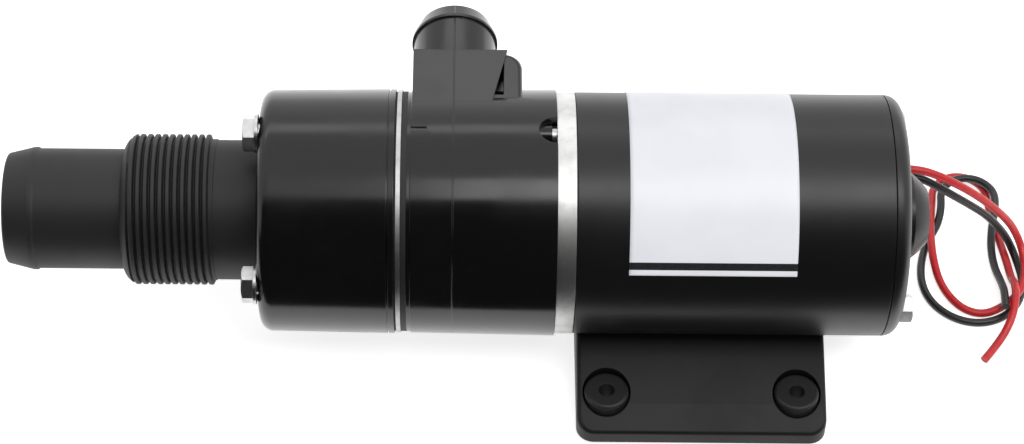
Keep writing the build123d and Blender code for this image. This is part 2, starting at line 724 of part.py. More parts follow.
def weep_notch():
    """Notch at the top rear edge, with a column of wall left round the bolt."""
    depth_start = BRACKET_SPIGOT_RADIUS + WEEP_NOTCH_FLOOR_WALL
    reach = BODY_REAR_RADIUS + OVERCUT
    centre_x = bracket_front - WEEP_NOTCH_OVERRUN
    middle = (depth_start + reach) / 2
    notch = Pos(centre_x, 0, 0) * around(WEEP_NOTCH_ANGLE, middle) * Rot(90, 0, 0) * Cylinder(
        WEEP_NOTCH_RADIUS, reach - depth_start)
    column_end = bracket_front - BOLT_COLUMN_STOP
    column = around(bolt_angles[1], BOLT_CIRCLE) * disc(BOLT_COLUMN_RADIUS, column_end - BOLT_COLUMN_LENGTH,
                                                            column_end)
    return notch - column


def pump_body():
    """Impeller chamber, seal seat, outlet and bolt columns in one moulding."""
    body = turned(
        (body_front, 0), (body_front, BODY_LIP_RADIUS), (body_front + BODY_LIP, BODY_LIP_RADIUS),
        (body_front + BODY_LIP, BODY_FRONT_RADIUS), (bracket_front, BODY_REAR_RADIUS), (bracket_front, 0),
    )
    body += outlet_block()
    body += outlet_spigot()
    body -= chamber()
    body -= disc(SHAFT_RADIUS + SHAFT_HOLE_GAP, chamber_rear - OVERCUT, wall_rear)
    body -= disc(SEAL_RADIUS, seal_front, wall_rear + OVERCUT)
    body -= disc(BRACKET_SPIGOT_RADIUS + ASSEMBLY_GAP, wall_rear, bracket_front + OVERCUT)
    bore_length = OUTLET_TIP_AT + OVERCUT - OUTLET_BORE_START
    body -= Pos(outlet_x, OUTLET_BORE_START + bore_length / 2, OUTLET_HEIGHT) * Rot(90, 0, 0) * Cylinder(
        OUTLET_BORE, bore_length)
    body = with_bolt_holes(body, body_front, bracket_front)
    return body - weep_notch() - key_slot()


def key_slot():
    """Short slot in the top of the body's front edge, as a cutter."""
    length = KEY_SLOT_LENGTH + OVERCUT
    cutter = Box(length, 2 * KEY_SLOT_DEPTH, KEY_SLOT_BREADTH)
    middle = body_front + BODY_LIP + KEY_SLOT_LENGTH - length / 2
    return Pos(middle, 0, 0) * around(KEY_SLOT_ANGLE, BODY_FRONT_RADIUS) * cutter


# Head bolts


def head_bolts():
    """Four hex bolts from the head's face into the front bracket."""
    head_start = head_front - BOLT_WASHER - BOLT_HEAD
    head_end = head_front - BOLT_WASHER
    bolt = hex_head(BOLT_HEAD_AF, head_start, head_end)
    bolt += disc(BOLT_RADIUS, head_end, bracket_front + BOLT_IN_BRACKET)
    return at_angles(bolt, bolt_angles, BOLT_CIRCLE)


def head_washers():
    """Flat washers under the bolt heads."""
    washer = ring(BOLT_WASHER_RADIUS, BOLT_HOLE_RADIUS, head_front - BOLT_WASHER, head_front)
    return at_angles(washer, bolt_angles, BOLT_CIRCLE)


# Seal


def shaft_seal():
    """Lip seal: outer case, back wall and inner lip."""
    lip_inner = SHAFT_RADIUS + RUNNING_GAP
    seal = ring(SEAL_RADIUS, lip_inner, seal_front, wall_rear)
    seal -= ring(SEAL_RADIUS - SEAL_CASE, lip_inner + SEAL_LIP_WALL,
                 seal_front - OVERCUT, wall_rear - SEAL_BACK)
    return seal


def garter_spring():
    """Spring ring round the seal's lip."""
    lip_outer = SHAFT_RADIUS + RUNNING_GAP + SEAL_LIP_WALL
    centre = lip_outer + GARTER_WIRE_RADIUS + RUNNING_GAP
    place = Pos(seal_front + 2 * GARTER_WIRE_RADIUS, 0, 0)
    return place * Rot(0, 90, 0) * Torus(centre, GARTER_WIRE_RADIUS)


# Rotor


def shaft():
    """Motor and pump shaft in one, with a keyseat under the impeller."""
    rear_end = rear_bearing_end - SHAFT_REAR_SETBACK
    body = turned(
        (shaft_front, 0), (shaft_front, SHAFT_THREAD_RADIUS - SHAFT_END_CHAMFER),
        (shaft_front + SHAFT_END_CHAMFER, SHAFT_THREAD_RADIUS), (blade_rear, SHAFT_THREAD_RADIUS),
        (blade_rear, SHAFT_RADIUS), (front_bearing_end, SHAFT_RADIUS),
        (front_bearing_end, SHAFT_CORE_RADIUS), (rear_bearing_start, SHAFT_CORE_RADIUS),
        (rear_bearing_start, SHAFT_RADIUS), (rear_end, SHAFT_RADIUS), (rear_end, 0),
    )
    return body - key_block()


def key_block():
    """Square key between shaft and impeller insert."""
    start = chamber_front + IMPELLER_SIDE_GAP + INSERT_SETBACK
    end = chamber_rear - IMPELLER_SIDE_GAP - INSERT_SETBACK
    centre = SHAFT_RADIUS - KEY_SET_IN + KEY_SIZE / 2
    return Pos((start + end) / 2, 0, centre) * Box(end - start, KEY_SIZE, KEY_SIZE)


def impeller_insert():
    """Brass bush moulded into the impeller."""
    start = chamber_front + IMPELLER_SIDE_GAP + INSERT_SETBACK
    end = chamber_rear - IMPELLER_SIDE_GAP - INSERT_SETBACK
    return ring(INSERT_RADIUS, SHAFT_RADIUS, start, end) - key_block()


def wall_radius_at(angle):
    """Distance from the axis to the chamber's wall in one direction."""
    radius, offset = cam_circle()
    across = math.radians(angle - CAM_ANGLE)
    to_cam = -offset * math.cos(across) + math.sqrt(radius ** 2 - (offset * math.sin(across)) ** 2)
    return min(CHAMBER_RADIUS, to_cam)


def vane_reach(lag):
    """How far from the axis a straight vane's tip stands when it lags its root by an angle."""
    turn = math.radians(lag)
    return VANE_ROOT * math.cos(turn) + math.sqrt(VANE_CHORD ** 2 - (VANE_ROOT * math.sin(turn)) ** 2)


def vane(angle, start, end):
    """One impeller vane, bent back as far as the wall in its way asks."""
    lag = 0.0
    lag_step = 0.5
    clearance = VANE_TIP_RADIUS + FREE_GAP
    while vane_reach(lag) > wall_radius_at(angle + lag) - clearance:
        lag += lag_step
    tip_centre = vane_reach(lag)
    root = Vector(VANE_ROOT, 0, 0)
    turn = math.radians(lag)
    tip = Vector(tip_centre * math.cos(turn), tip_centre * math.sin(turn), 0)
    middle = (root + tip) * 0.5
    across = Vector(tip.Y - root.Y, root.X - tip.X, 0).normalized()
    spine = ThreePointArc(root, middle + across * VANE_BOW, tip)
    steps = 12
    half = VANE_THICKNESS / 2
    left = []
    right = []
    for i in range(steps + 1):
        place = spine @ (i / steps)
        along = spine % (i / steps)
        side = Vector(-along.Y, along.X, 0)
        left.append(tuple(place + side * half))
        right.append(tuple(place - side * half))
    edges = [Spline(*left), Spline(*right), Line(left[0], right[0]), Line(left[-1], right[-1])]
    face = make_face(Curve() + edges)
    blade = extrude(Plane.YZ.offset(start) * face, end - start)
    bead = Pos((start + end) / 2, tip.X, tip.Y) * Rot(0, 90, 0) * Cylinder(VANE_TIP_RADIUS, end - start)
    return Rot(angle, 0, 0) * (blade + bead)


def impeller():
    """Rubber impeller, its vanes as they stand in the chamber at rest."""
    start = chamber_front + IMPELLER_SIDE_GAP
    end = chamber_rear - IMPELLER_SIDE_GAP
    body = disc(IMPELLER_HUB_RADIUS, start, end)
    for i in range(VANE_COUNT):
        body += vane(VANE_FIRST_ANGLE + 360 / VANE_COUNT * i, start, end)
    body -= disc(SHAFT_RADIUS + FREE_GAP, start - OVERCUT, end + OVERCUT)
    return body - disc(INSERT_RADIUS, start + INSERT_SETBACK, end - INSERT_SETBACK)


def cutter_blade():
    """Two armed blade that turns against the chopper plate."""
    arms = Pos((blade_front + blade_rear) / 2, 0, 0) * Box(BLADE_THICKNESS, 2 * BLADE_RADIUS, BLADE_BREADTH)
    hub = disc(BLADE_HUB_RADIUS, blade_front, blade_rear)
    blade = (arms & disc(BLADE_RADIUS, blade_front, blade_rear)) + hub
    return blade - disc(SHAFT_THREAD_RADIUS, blade_front - OVERCUT, blade_rear + OVERCUT)


def cutter_washer():
    """Washer between blade and nut."""
    return ring(CUTTER_WASHER_RADIUS, SHAFT_THREAD_RADIUS, cutter_washer_front, blade_front)


def cutter_nut():
    """Lock nut that holds the blade."""
    nut = hex_head(CUTTER_NUT_AF, cutter_nut_front, cutter_washer_front)
    return nut - disc(SHAFT_THREAD_RADIUS, cutter_nut_front - OVERCUT, cutter_washer_front + OVERCUT)


def slinger():
    """Rubber disc that throws off any drips before the bearing."""
    return ring(SLINGER_RADIUS, SHAFT_RADIUS, slinger_front, slinger_front + SLINGER_THICKNESS)


def core_slot_cutter(start, end, shrink=0.0):
    """One armature slot: a wide pocket, and its narrow mouth when it is not shrunk."""
    pocket_outer = core_radius - TOOTH_TIP
    length = SLOT_DEPTH - 2 * shrink
    pocket = Pos((start + end) / 2, pocket_outer - SLOT_DEPTH / 2, 0) * Box(
        end - start, length, SLOT_WIDTH - 2 * shrink)
    if shrink:
        return pocket
    mouth_reach = 2 * (TOOTH_TIP + OVERCUT)
    mouth = Pos((start + end) / 2, pocket_outer, 0) * Box(end - start, mouth_reach, SLOT_MOUTH)
    return pocket + mouth


def slot_angles():
    """Angles of the armature's slots."""
    return [360 / SLOT_COUNT * i for i in range(SLOT_COUNT)]


def armature_core():
    """Slotted iron stack on the shaft."""
    core = ring(core_radius, SHAFT_CORE_RADIUS, core_front, core_rear)
    for slot in at_angles(core_slot_cutter(core_front - OVERCUT, core_rear + OVERCUT), slot_angles(), 0):
        core -= slot
    return core


def windings():
    """Copper windings: the bars in the slots and the end turns, as one mass."""
    front = core_front - END_TURN_LENGTH
    rear = core_rear + END_TURN_LENGTH
    inner = SHAFT_CORE_RADIUS + END_TURN_SHAFT_SPACE
    body = ring(END_TURN_RADIUS, inner, front, core_front) + ring(END_TURN_RADIUS, inner, core_rear, rear)
    bar = core_slot_cutter(core_front - BAR_OVERLAP, core_rear + BAR_OVERLAP, ASSEMBLY_GAP)
    for turned_bar in at_angles(bar, slot_angles(), 0):
        body += turned_bar
    return body


def commutator():
    """Copper bars of the commutator."""
    body = ring(COMMUTATOR_RADIUS, COMMUTATOR_HUB_RADIUS, commutator_front, commutator_rear)
    slit = Pos(commutator_middle, 0, 0) * Box(
        COMMUTATOR_LENGTH + OVERCUT, 2 * COMMUTATOR_SLIT_DEPTH, COMMUTATOR_SLIT)
    for cut in at_angles(slit, slot_angles(), COMMUTATOR_RADIUS):
        body -= cut
    return body


def commutator_hub():
    """Moulded hub of the commutator."""
    return ring(COMMUTATOR_HUB_RADIUS, SHAFT_CORE_RADIUS, commutator_front, commutator_rear)


# Bearings


def bearing_groove(middle):
    """Torus that cuts the ball track in both rings."""
    return Pos(middle, 0, 0) * Rot(0, 90, 0) * Torus(ball_circle, BALL_RADIUS + RUNNING_GAP)


def bearing_outer(start):
    """Outer ring of a ball bearing."""
    return ring(BEARING_RADIUS, BEARING_OUTER_LAND, start, start + BEARING_WIDTH) - bearing_groove(
        start + BEARING_WIDTH / 2)


def bearing_inner(start):
    """Inner ring of a ball bearing."""
    return ring(BEARING_INNER_LAND, BEARING_BORE_RADIUS, start, start + BEARING_WIDTH) - bearing_groove(
        start + BEARING_WIDTH / 2)


def ball_angles():
    """Angles of the balls in a bearing."""
    return [360 / BALL_COUNT * i for i in range(BALL_COUNT)]


def bearing_balls(start):
    """Balls of a ball bearing."""
    ball = Pos(start + BEARING_WIDTH / 2, 0, 0) * Sphere(BALL_RADIUS)
    return at_angles(ball, ball_angles(), ball_circle)


def bearing_cage(start):
    """Crown cage that spaces the balls."""
    middle = start + BEARING_WIDTH / 2
    cage = ring(ball_circle + CAGE_HALF_HEIGHT, ball_circle - CAGE_HALF_HEIGHT, middle - CAGE_RIM,
                middle + BALL_RADIUS + CAGE_RIM)
    pocket = Pos(middle, 0, 0) * Sphere(BALL_RADIUS + RUNNING_GAP)
    for cut in at_angles(pocket, ball_angles(), ball_circle):
        cage -= cut
    return cage


def wave_washer():
    """Spring washer that loads the rear bearing."""
    return ring(BEARING_RADIUS - ASSEMBLY_GAP, WAVE_WASHER_INNER, rear_bearing_end,
                rear_bearing_end + WAVE_WASHER_THICKNESS)


# Motor


def front_bracket():
    """Aluminium bracket between pump body and motor, with the front bearing's seat."""
    body = disc(BRACKET_RIM_RADIUS, bracket_front, CAN_FRONT)
    body += disc(BRACKET_SPIGOT_RADIUS, bracket_tip, bracket_front)
    body += ring(register_radius, register_radius - BRACKET_REGISTER_WALL, CAN_FRONT, register_rear)
    body -= disc(BRACKET_SHAFT_HOLE, bracket_tip - OVERCUT, CAN_FRONT + OVERCUT)
    body -= disc(BEARING_RADIUS, front_bearing_start, CAN_FRONT + OVERCUT)
    body -= ring(BRACKET_POCKET_OUTER, BRACKET_POCKET_INNER,
                 CAN_FRONT - BRACKET_POCKET_DEPTH, CAN_FRONT + OVERCUT)
    drill = disc(BOLT_RADIUS, bracket_front - OVERCUT, bracket_front + BOLT_IN_BRACKET)
    for hole in at_angles(drill, bolt_angles, BOLT_CIRCLE):
        body -= hole
    thread = disc(THROUGH_BOLT_RADIUS, register_rear - THROUGH_BOLT_GRIP, register_rear + OVERCUT)
    for hole in at_angles(thread, THROUGH_BOLT_ANGLES, THROUGH_BOLT_CIRCLE):
        body -= hole
    return body


def motor_can():
    """Steel tube of the motor, with two threaded holes for the base screws."""
    can = ring(CAN_RADIUS, can_inside, CAN_FRONT, can_rear)
    rims = [e for e in can.edges().filter_by(GeomType.CIRCLE) if abs(e.radius - CAN_RADIUS) < SAME_PLACE]
    can = chamfer(rims, CAN_END_CHAMFER)
    for x in (-BASE_SCREW_SPACING / 2, BASE_SCREW_SPACING / 2):
        can -= Pos(x, 0, -CAN_RADIUS) * Cylinder(BASE_SCREW_RADIUS, 4 * CAN_WALL)
    return can


def field_magnets():
    """Two curved magnets inside the can."""
    start = core_middle - MAGNET_LENGTH / 2
    outer = can_inside - ASSEMBLY_GAP
    return [sector(magnet_inside, outer, angle - MAGNET_ARC / 2, angle + MAGNET_ARC / 2, start,
                   start + MAGNET_LENGTH) for angle in magnet_angles]


def end_bell():
    """Rear cover of the motor, with the bearing boss and the hole for the lead grommet."""
    edge = BELL_EDGE_RADIUS
    bend = edge * (1 - math.sqrt(0.5))
    flat = bell_face - edge
    knee = boss_tip - (boss_tip - bell_face - BOSS_SHOULDER) * BOSS_KNEE_SHARE
    knee_radius = (BOSS_RADIUS + BOSS_TIP_RADIUS) / 2 + BOSS_BULGE
    body = turned(
        (can_rear - BELL_REGISTER, 0), (can_rear - BELL_REGISTER, register_radius),
        (can_rear, register_radius),
        (can_rear, CAN_RADIUS), (flat, CAN_RADIUS),
        ((bell_face - bend, CAN_RADIUS - bend), (bell_face, CAN_RADIUS - edge)),
        (bell_face, BOSS_RADIUS), (bell_face + BOSS_SHOULDER, BOSS_RADIUS - BOSS_DRAFT),
        ((knee, knee_radius), (boss_tip, BOSS_TIP_RADIUS)), (boss_tip, 0),
    )
    body -= disc(register_radius - BELL_REGISTER_WALL, can_rear - BELL_REGISTER - OVERCUT, bell_inside)
    body -= disc(BEARING_RADIUS, bell_inside - OVERCUT, rear_seat_end)
    drill_start = can_rear - BELL_REGISTER - OVERCUT
    drill = disc(THROUGH_BOLT_RADIUS + ASSEMBLY_GAP, drill_start, bell_face + OVERCUT)
    for hole in at_angles(drill, THROUGH_BOLT_ANGLES, THROUGH_BOLT_CIRCLE):
        body -= hole
    return body - lead_place() * disc(GROMMET_RADIUS, bell_inside - OVERCUT, bell_face + OVERCUT)


def lead_place():
    """Where the lead grommet sits in the end bell."""
    return Pos(0, LEAD_EXIT_SIDE, LEAD_EXIT_UP)


def lead_rods(start, end):
    """The two leads as straight rods through the grommet."""
    rods = []
    for side in (1, -1):
        rods.append(lead_place() * Pos(0, 0, side * LEAD_EXIT_SPACING / 2) * disc(LEAD_RADIUS, start, end))
    return rods


def lead_grommet():
    """Rubber grommet that the two leads leave through."""
    inner_end = bell_inside - GROMMET_INNER_END
    body = disc(GROMMET_RADIUS, inner_end, bell_face) + disc(GROMMET_FLANGE_RADIUS, bell_face, lead_exit_x)
    body = lead_place() * body
    for rod in lead_rods(inner_end - OVERCUT, lead_exit_x + OVERCUT):
        body -= rod
    return body


def inner_leads():
    """Tails of the leads, from the brush plate through the grommet."""
    return lead_rods(brush_plate_rear, lead_exit_x)


def through_bolts():
    """Two long bolts that clamp end bell, can and front bracket."""
    head_end = bell_face + THROUGH_BOLT_HEAD
    bolt = hex_head(THROUGH_BOLT_HEAD_AF, bell_face, head_end, washer_side_at_end=False)
    bolt += disc(THROUGH_BOLT_RADIUS, register_rear - THROUGH_BOLT_GRIP, bell_face)
    return at_angles(bolt, THROUGH_BOLT_ANGLES, THROUGH_BOLT_CIRCLE)


# Brush gear


def brush_start():
    """Radius where the brushes meet the commutator."""
    return COMMUTATOR_RADIUS + RUNNING_GAP


def brush(angle):
    """Carbon brush, hollowed to the commutator."""
    outer = brush_start() + BRUSH_LENGTH
    inner = brush_start() / 2
    block = Pos(commutator_middle, (inner + outer) / 2, 0) * Box(BRUSH_WIDTH, outer - inner, BRUSH_BREADTH)
    block -= disc(brush_start(), commutator_front - OVERCUT, commutator_rear + OVERCUT)
    return Rot(angle, 0, 0) * block


def brush_boxes():
    """Two brass boxes that guide the brushes."""
    start = brush_start() + BRUSH_BOX_START
    middle = start + BRUSH_BOX_LENGTH / 2
    width = BRUSH_WIDTH + 2 * SLIDING_GAP
    breadth = BRUSH_BREADTH + 2 * SLIDING_GAP
    box = Pos(commutator_middle, middle, 0) * (
        Box(width + 2 * BRUSH_BOX_WALL, BRUSH_BOX_LENGTH, breadth + 2 * BRUSH_BOX_WALL)
        - Box(width, BRUSH_BOX_LENGTH + OVERCUT, breadth))
    return [Rot(angle, 0, 0) * box for angle in brush_angles]


def brush_spring(angle):
    """Spring that presses one brush on the commutator."""
    start = brush_start() + BRUSH_LENGTH
    middle = start + BRUSH_SPRING_LENGTH / 2
    coil = Rot(90, 0, 0) * (Cylinder(BRUSH_SPRING_RADIUS, BRUSH_SPRING_LENGTH)
                            - Cylinder(BRUSH_SPRING_RADIUS - BRUSH_SPRING_WIRE,
                                       BRUSH_SPRING_LENGTH + OVERCUT))
    return Rot(angle, 0, 0) * Pos(commutator_middle, middle, 0) * coil


def spring_posts():
    """Turned up tabs of the brush plate that the springs push against, as blocks."""
    start = brush_start() + BRUSH_LENGTH + BRUSH_SPRING_LENGTH
    x_start = commutator_middle - BRUSH_WIDTH / 2
    tab = Pos((x_start + brush_plate_front) / 2, start + SPRING_POST / 2, 0) * Box(
        brush_plate_front - x_start, SPRING_POST, BRUSH_BREADTH)
    return [Rot(angle, 0, 0) * tab for angle in brush_angles]


def brush_plate():
    """Insulating plate that carries the brush gear."""
    plate = ring(can_inside - ASSEMBLY_GAP, BRUSH_PLATE_HOLE, brush_plate_front, brush_plate_rear)
    for tab in spring_posts():
        plate += tab
    notch = disc(THROUGH_BOLT_RADIUS + FREE_GAP, brush_plate_front - OVERCUT, brush_plate_rear + OVERCUT)
    for cut in at_angles(notch, THROUGH_BOLT_ANGLES, THROUGH_BOLT_CIRCLE):
        plate -= cut
    return plate


def thermal_cutout():
    """Self resetting thermal switch on the brush plate."""
    block = Pos(brush_plate_rear + CUTOUT_THICKNESS / 2, 0, 0) * Box(
        CUTOUT_THICKNESS, CUTOUT_BREADTH, CUTOUT_LENGTH)
    return around(CUTOUT_ANGLE, CUTOUT_CIRCLE) * block


# Label


def label():
    """Plastic film round the can."""
    outer = CAN_RADIUS + LABEL_THICKNESS
    label_rear = LABEL_FRONT + LABEL_LENGTH
    return sector(CAN_RADIUS, outer, LABEL_START_ANGLE, LABEL_END_ANGLE, LABEL_FRONT, label_rear)


# Base and feet


def base_slope_end():
    """Height above the base's bottom where its sloping top meets the can."""
    return axis_above_base - math.sqrt(CAN_RADIUS ** 2 - BASE_SADDLE_HALF_WIDTH ** 2)


def base_section(inset):
    """Cross section of the base in Y and height above its bottom, inset for the hollow underneath."""
    half = BASE_WIDTH / 2 - inset
    lip = BASE_LIP - inset
    saddle = BASE_SADDLE_HALF_WIDTH
    top = base_slope_end() - inset
    bottom = -OVERCUT if inset else 0
    knee_y = saddle + (half - saddle) * BASE_KNEE_ACROSS
    knee_z = lip + (top - lip) * BASE_KNEE_UP + BASE_KNEE_BULGE
    return outline(
        (-half, bottom), (-half, lip), (-knee_y, knee_z), (-saddle, top), (saddle, top), (knee_y, knee_z),
        (half, lip), (half, bottom),
    )


def foot_places():
    """Centres of the four feet."""
    places = []
    for x in (-FOOT_SPACING_X / 2, FOOT_SPACING_X / 2):
        for y in (-FOOT_SPACING_Y / 2, FOOT_SPACING_Y / 2):
            places.append((x, y))
    return places


def upright(radius, x, y, z_start, z_end):
    """Solid cylinder along Z."""
    return Pos(x, y, (z_start + z_end) / 2) * Cylinder(radius, z_end - z_start)


def base():
    """Moulded base: sloping shell, ribs, foot bosses, screw bosses and saddle."""
    outer = extrude(Plane.YZ.offset(-BASE_LENGTH / 2) * base_section(0), BASE_LENGTH)
    tall = 2 * axis_above_base
    plan = extrude(RectangleRounded(BASE_LENGTH, BASE_WIDTH, BASE_CORNER_RADIUS), tall)
    outer &= plan
    near = 0.3
    lip_edges = [e for e in outer.edges() if abs(e.center().Z - BASE_LIP) < near
                 and abs(abs(e.center().Y) - BASE_WIDTH / 2) < near]
    outer = fillet(lip_edges, BASE_LIP_ROUND)
    inner = extrude(Plane.YZ.offset(-BASE_LENGTH / 2 + BASE_SHELL) * base_section(BASE_SHELL),
                    BASE_LENGTH - 2 * BASE_SHELL)
    keep_saddle = Pos(0, 0, axis_above_base) * disc(CAN_RADIUS + BASE_SHELL, -BASE_LENGTH, BASE_LENGTH)
    hollow = inner - keep_saddle
    for x in (-BASE_SCREW_SPACING / 2, 0, BASE_SCREW_SPACING / 2):
        hollow -= Pos(x, 0, 0) * Box(BASE_RIB, BASE_WIDTH, tall)
    for y in (-BASE_SADDLE_HALF_WIDTH, 0, BASE_SADDLE_HALF_WIDTH):
        hollow -= Pos(0, y, 0) * Box(BASE_LENGTH, BASE_RIB, tall)
    for x, y in foot_places():
        hollow -= upright(FOOT_BOSS_RADIUS, x, y, -tall, tall)
    for x in (-BASE_SCREW_SPACING / 2, BASE_SCREW_SPACING / 2):
        hollow -= upright(BASE_SCREW_BOSS_RADIUS, x, 0, -tall, tall)
    body = outer - hollow
    body -= Pos(0, 0, axis_above_base) * disc(CAN_RADIUS, -BASE_LENGTH, BASE_LENGTH)
    for x, y in foot_places():
        body -= upright(FOOT_RECESS_RADIUS, x, y, FOOT_WEB_BOTTOM + FOOT_WEB, tall)
        body -= upright(FOOT_RECESS_RADIUS, x, y, -OVERCUT, FOOT_WEB_BOTTOM)
        body -= upright(FOOT_NECK_RADIUS, x, y, -OVERCUT, tall)
    for x in (-BASE_SCREW_SPACING / 2, BASE_SCREW_SPACING / 2):
        body -= upright(BASE_SCREW_HOLE_RADIUS, x, 0, -OVERCUT, tall)
        body -= upright(BASE_SCREW_HEAD_RADIUS + FREE_GAP, x, 0, -OVERCUT, base_screw_seat())
    return Pos(0, 0, FOOT_PROUD) * body


def base_screw_seat():
    """Height above the base's bottom of the face that the base screws' heads bear on."""
    return axis_above_base - CAN_RADIUS - BASE_SCREW_FLOOR


def base_screws():
    """Two screws from below through the base into the can."""
    screws = []
    seat = base_screw_seat()
    tip = axis_above_base - can_inside - BASE_SCREW_TIP_GAP
    for x in (-BASE_SCREW_SPACING / 2, BASE_SCREW_SPACING / 2):
        screw = upright(BASE_SCREW_HEAD_RADIUS, x, 0, seat - BASE_SCREW_HEAD, seat)
        screw += upright(BASE_SCREW_RADIUS, x, 0, seat, tip)
        socket = Pos(x, 0, seat - BASE_SCREW_HEAD) * extrude(
            RegularPolygon(DRIVE_SOCKET_AF / 2, 6, major_radius=False), DRIVE_SOCKET_DEPTH)
        screws.append(Pos(0, 0, FOOT_PROUD) * (screw - socket))
    return screws


def foot_grommets():
    """Rubber bushes in the base, with the mounting holes through them."""
    web_bottom = FOOT_PROUD + FOOT_WEB_BOTTOM
    web_top = web_bottom + FOOT_WEB
    top = FOOT_PROUD + FOOT_DISC_TOP
    disc_radius = FOOT_DISC_RADIUS
    bend = FOOT_DISC_ROUND * (1 - math.sqrt(0.5))
    half = outline(
        (FOOT_HOLE_RADIUS, 0), (disc_radius - FOOT_SOLE_CHAMFER, 0), (disc_radius, FOOT_SOLE_CHAMFER),
        (disc_radius, web_bottom),
        (FOOT_NECK_RADIUS, web_bottom), (FOOT_NECK_RADIUS, web_top), (disc_radius, web_top),
        (disc_radius, top - FOOT_DISC_ROUND),
        ((disc_radius - bend, top - bend), (disc_radius - FOOT_DISC_ROUND, top)), (FOOT_HOLE_RADIUS, top),
    )
    foot = revolve(Plane.XZ * half, axis=Axis.Z)
    return [Pos(x, y, 0) * foot for x, y in foot_places()]


# Leads


def lead_tube(route, name):
    """Tube along straight runs joined by tangent arcs. Prints its radii, length and volume check."""
    points = [Vector(*p) for p in route]
    edges = []
    radii = []
    here = points[0]
    for before, corner, after in zip(points, points[1:], points[2:]):
        incoming = (corner - before).normalized()
        outgoing = (after - corner).normalized()
        turn = math.acos(max(-1.0, min(1.0, incoming.dot(outgoing))))
        reach = LEAD_BEND_SHARE * min((corner - before).length, (after - corner).length)
        radius = reach / math.tan(turn / 2)
        arc_start = corner - incoming * reach
        arc_end = corner + outgoing * reach
        inward = (outgoing - incoming).normalized()
        arc_middle = corner + inward * (radius / math.cos(turn / 2) - radius)
        edges.append(Line(here, arc_start))
        edges.append(ThreePointArc(arc_start, arc_middle, arc_end))
        radii.append(round(radius, 1))
        here = arc_end
    edges.append(Line(here, points[-1]))
    path = Wire(edges)
    start_plane = Plane(origin=points[0], z_dir=(points[1] - points[0]).normalized())
    tube = sweep(start_plane * Circle(LEAD_RADIUS), path=path)
    expected = math.pi * LEAD_RADIUS ** 2 * path.length
    print(name, "length", round(path.length, 1), "volume ratio", round(tube.volume / expected, 4))
    print(name, "radii", radii, "least", min(radii))
    return tube


# Save every node

save("inlet_housing", lifted(inlet_housing()))
save("head_seal", lifted(head_seal()))
save("chopper_plate", lifted(chopper_plate()))
save("wear_plate", lifted(wear_plate()))
save("body_gasket", lifted(body_gasket()))
save("pump_body", lifted(pump_body()))
save("head_bolts", [lifted(bolt) for bolt in head_bolts()])
save("head_washers", [lifted(washer) for washer in head_washers()])
save("shaft_seal", lifted(shaft_seal()))
save("garter_spring", lifted(garter_spring()))
save("shaft", lifted(shaft()))
save("impeller_key", lifted(key_block()))
save("impeller_insert", lifted(impeller_insert()))
save("impeller", lifted(impeller()))
save("cutter_blade", lifted(cutter_blade()))
save("cutter_washer", lifted(cutter_washer()))
save("cutter_nut", lifted(cutter_nut()))
save("slinger", lifted(slinger()))
save("armature_core", lifted(armature_core()))
save("armature_windings", lifted(windings()))
save("commutator", lifted(commutator()))
save("commutator_hub", lifted(commutator_hub()))
for place, bearing_start in (("front", front_bearing_start), ("rear", rear_bearing_start)):
    save(f"{place}_bearing_outer", lifted(bearing_outer(bearing_start)))
    save(f"{place}_bearing_inner", lifted(bearing_inner(bearing_start)))
    save(f"{place}_bearing_balls", [lifted(ball) for ball in bearing_balls(bearing_start)])
    save(f"{place}_bearing_cage", lifted(bearing_cage(bearing_start)))
save("wave_washer", lifted(wave_washer()))
save("front_bracket", lifted(front_bracket()))
save("motor_can", lifted(motor_can()))
save("field_magnets", [lifted(magnet) for magnet in field_magnets()])
save("end_bell", lifted(end_bell()))
save("lead_grommet", lifted(lead_grommet()))
save("inner_leads", [lifted(rod) for rod in inner_leads()])
save("through_bolts", [lifted(bolt) for bolt in through_bolts()])
save("brush_plate", lifted(brush_plate()))
save("brush_boxes", [lifted(box) for box in brush_boxes()])
for letter, brush_angle in zip("ab", brush_angles):
    save(f"brush_{letter}", lifted(brush(brush_angle)))
    save(f"brush_spring_{letter}", lifted(brush_spring(brush_angle)))
save("thermal_cutout", lifted(thermal_cutout()))
save("label", lifted(label()))
save("base", base())
save("base_screws", base_screws())
save("foot_grommets", foot_grommets())
save("red_lead", lead_tube(RED_ROUTE, "red_lead"))
save("black_lead", lead_tube(BLACK_ROUTE, "black_lead"))
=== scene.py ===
"""Looks of a waste water pump with a cutter head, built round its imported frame.

The scene is in metres, in the part's own frame: +X from inlet to motor, +Y towards the outlet's side,
+Z up, and the origin between the feet on the surface that they stand on. Only the leads' routes are
written in millimetres.
"""

from __future__ import annotations

import json
import logging
import math
from dataclasses import dataclass, field
from enum import Enum

import bpy
import numpy as np
from mathutils import Matrix, Vector

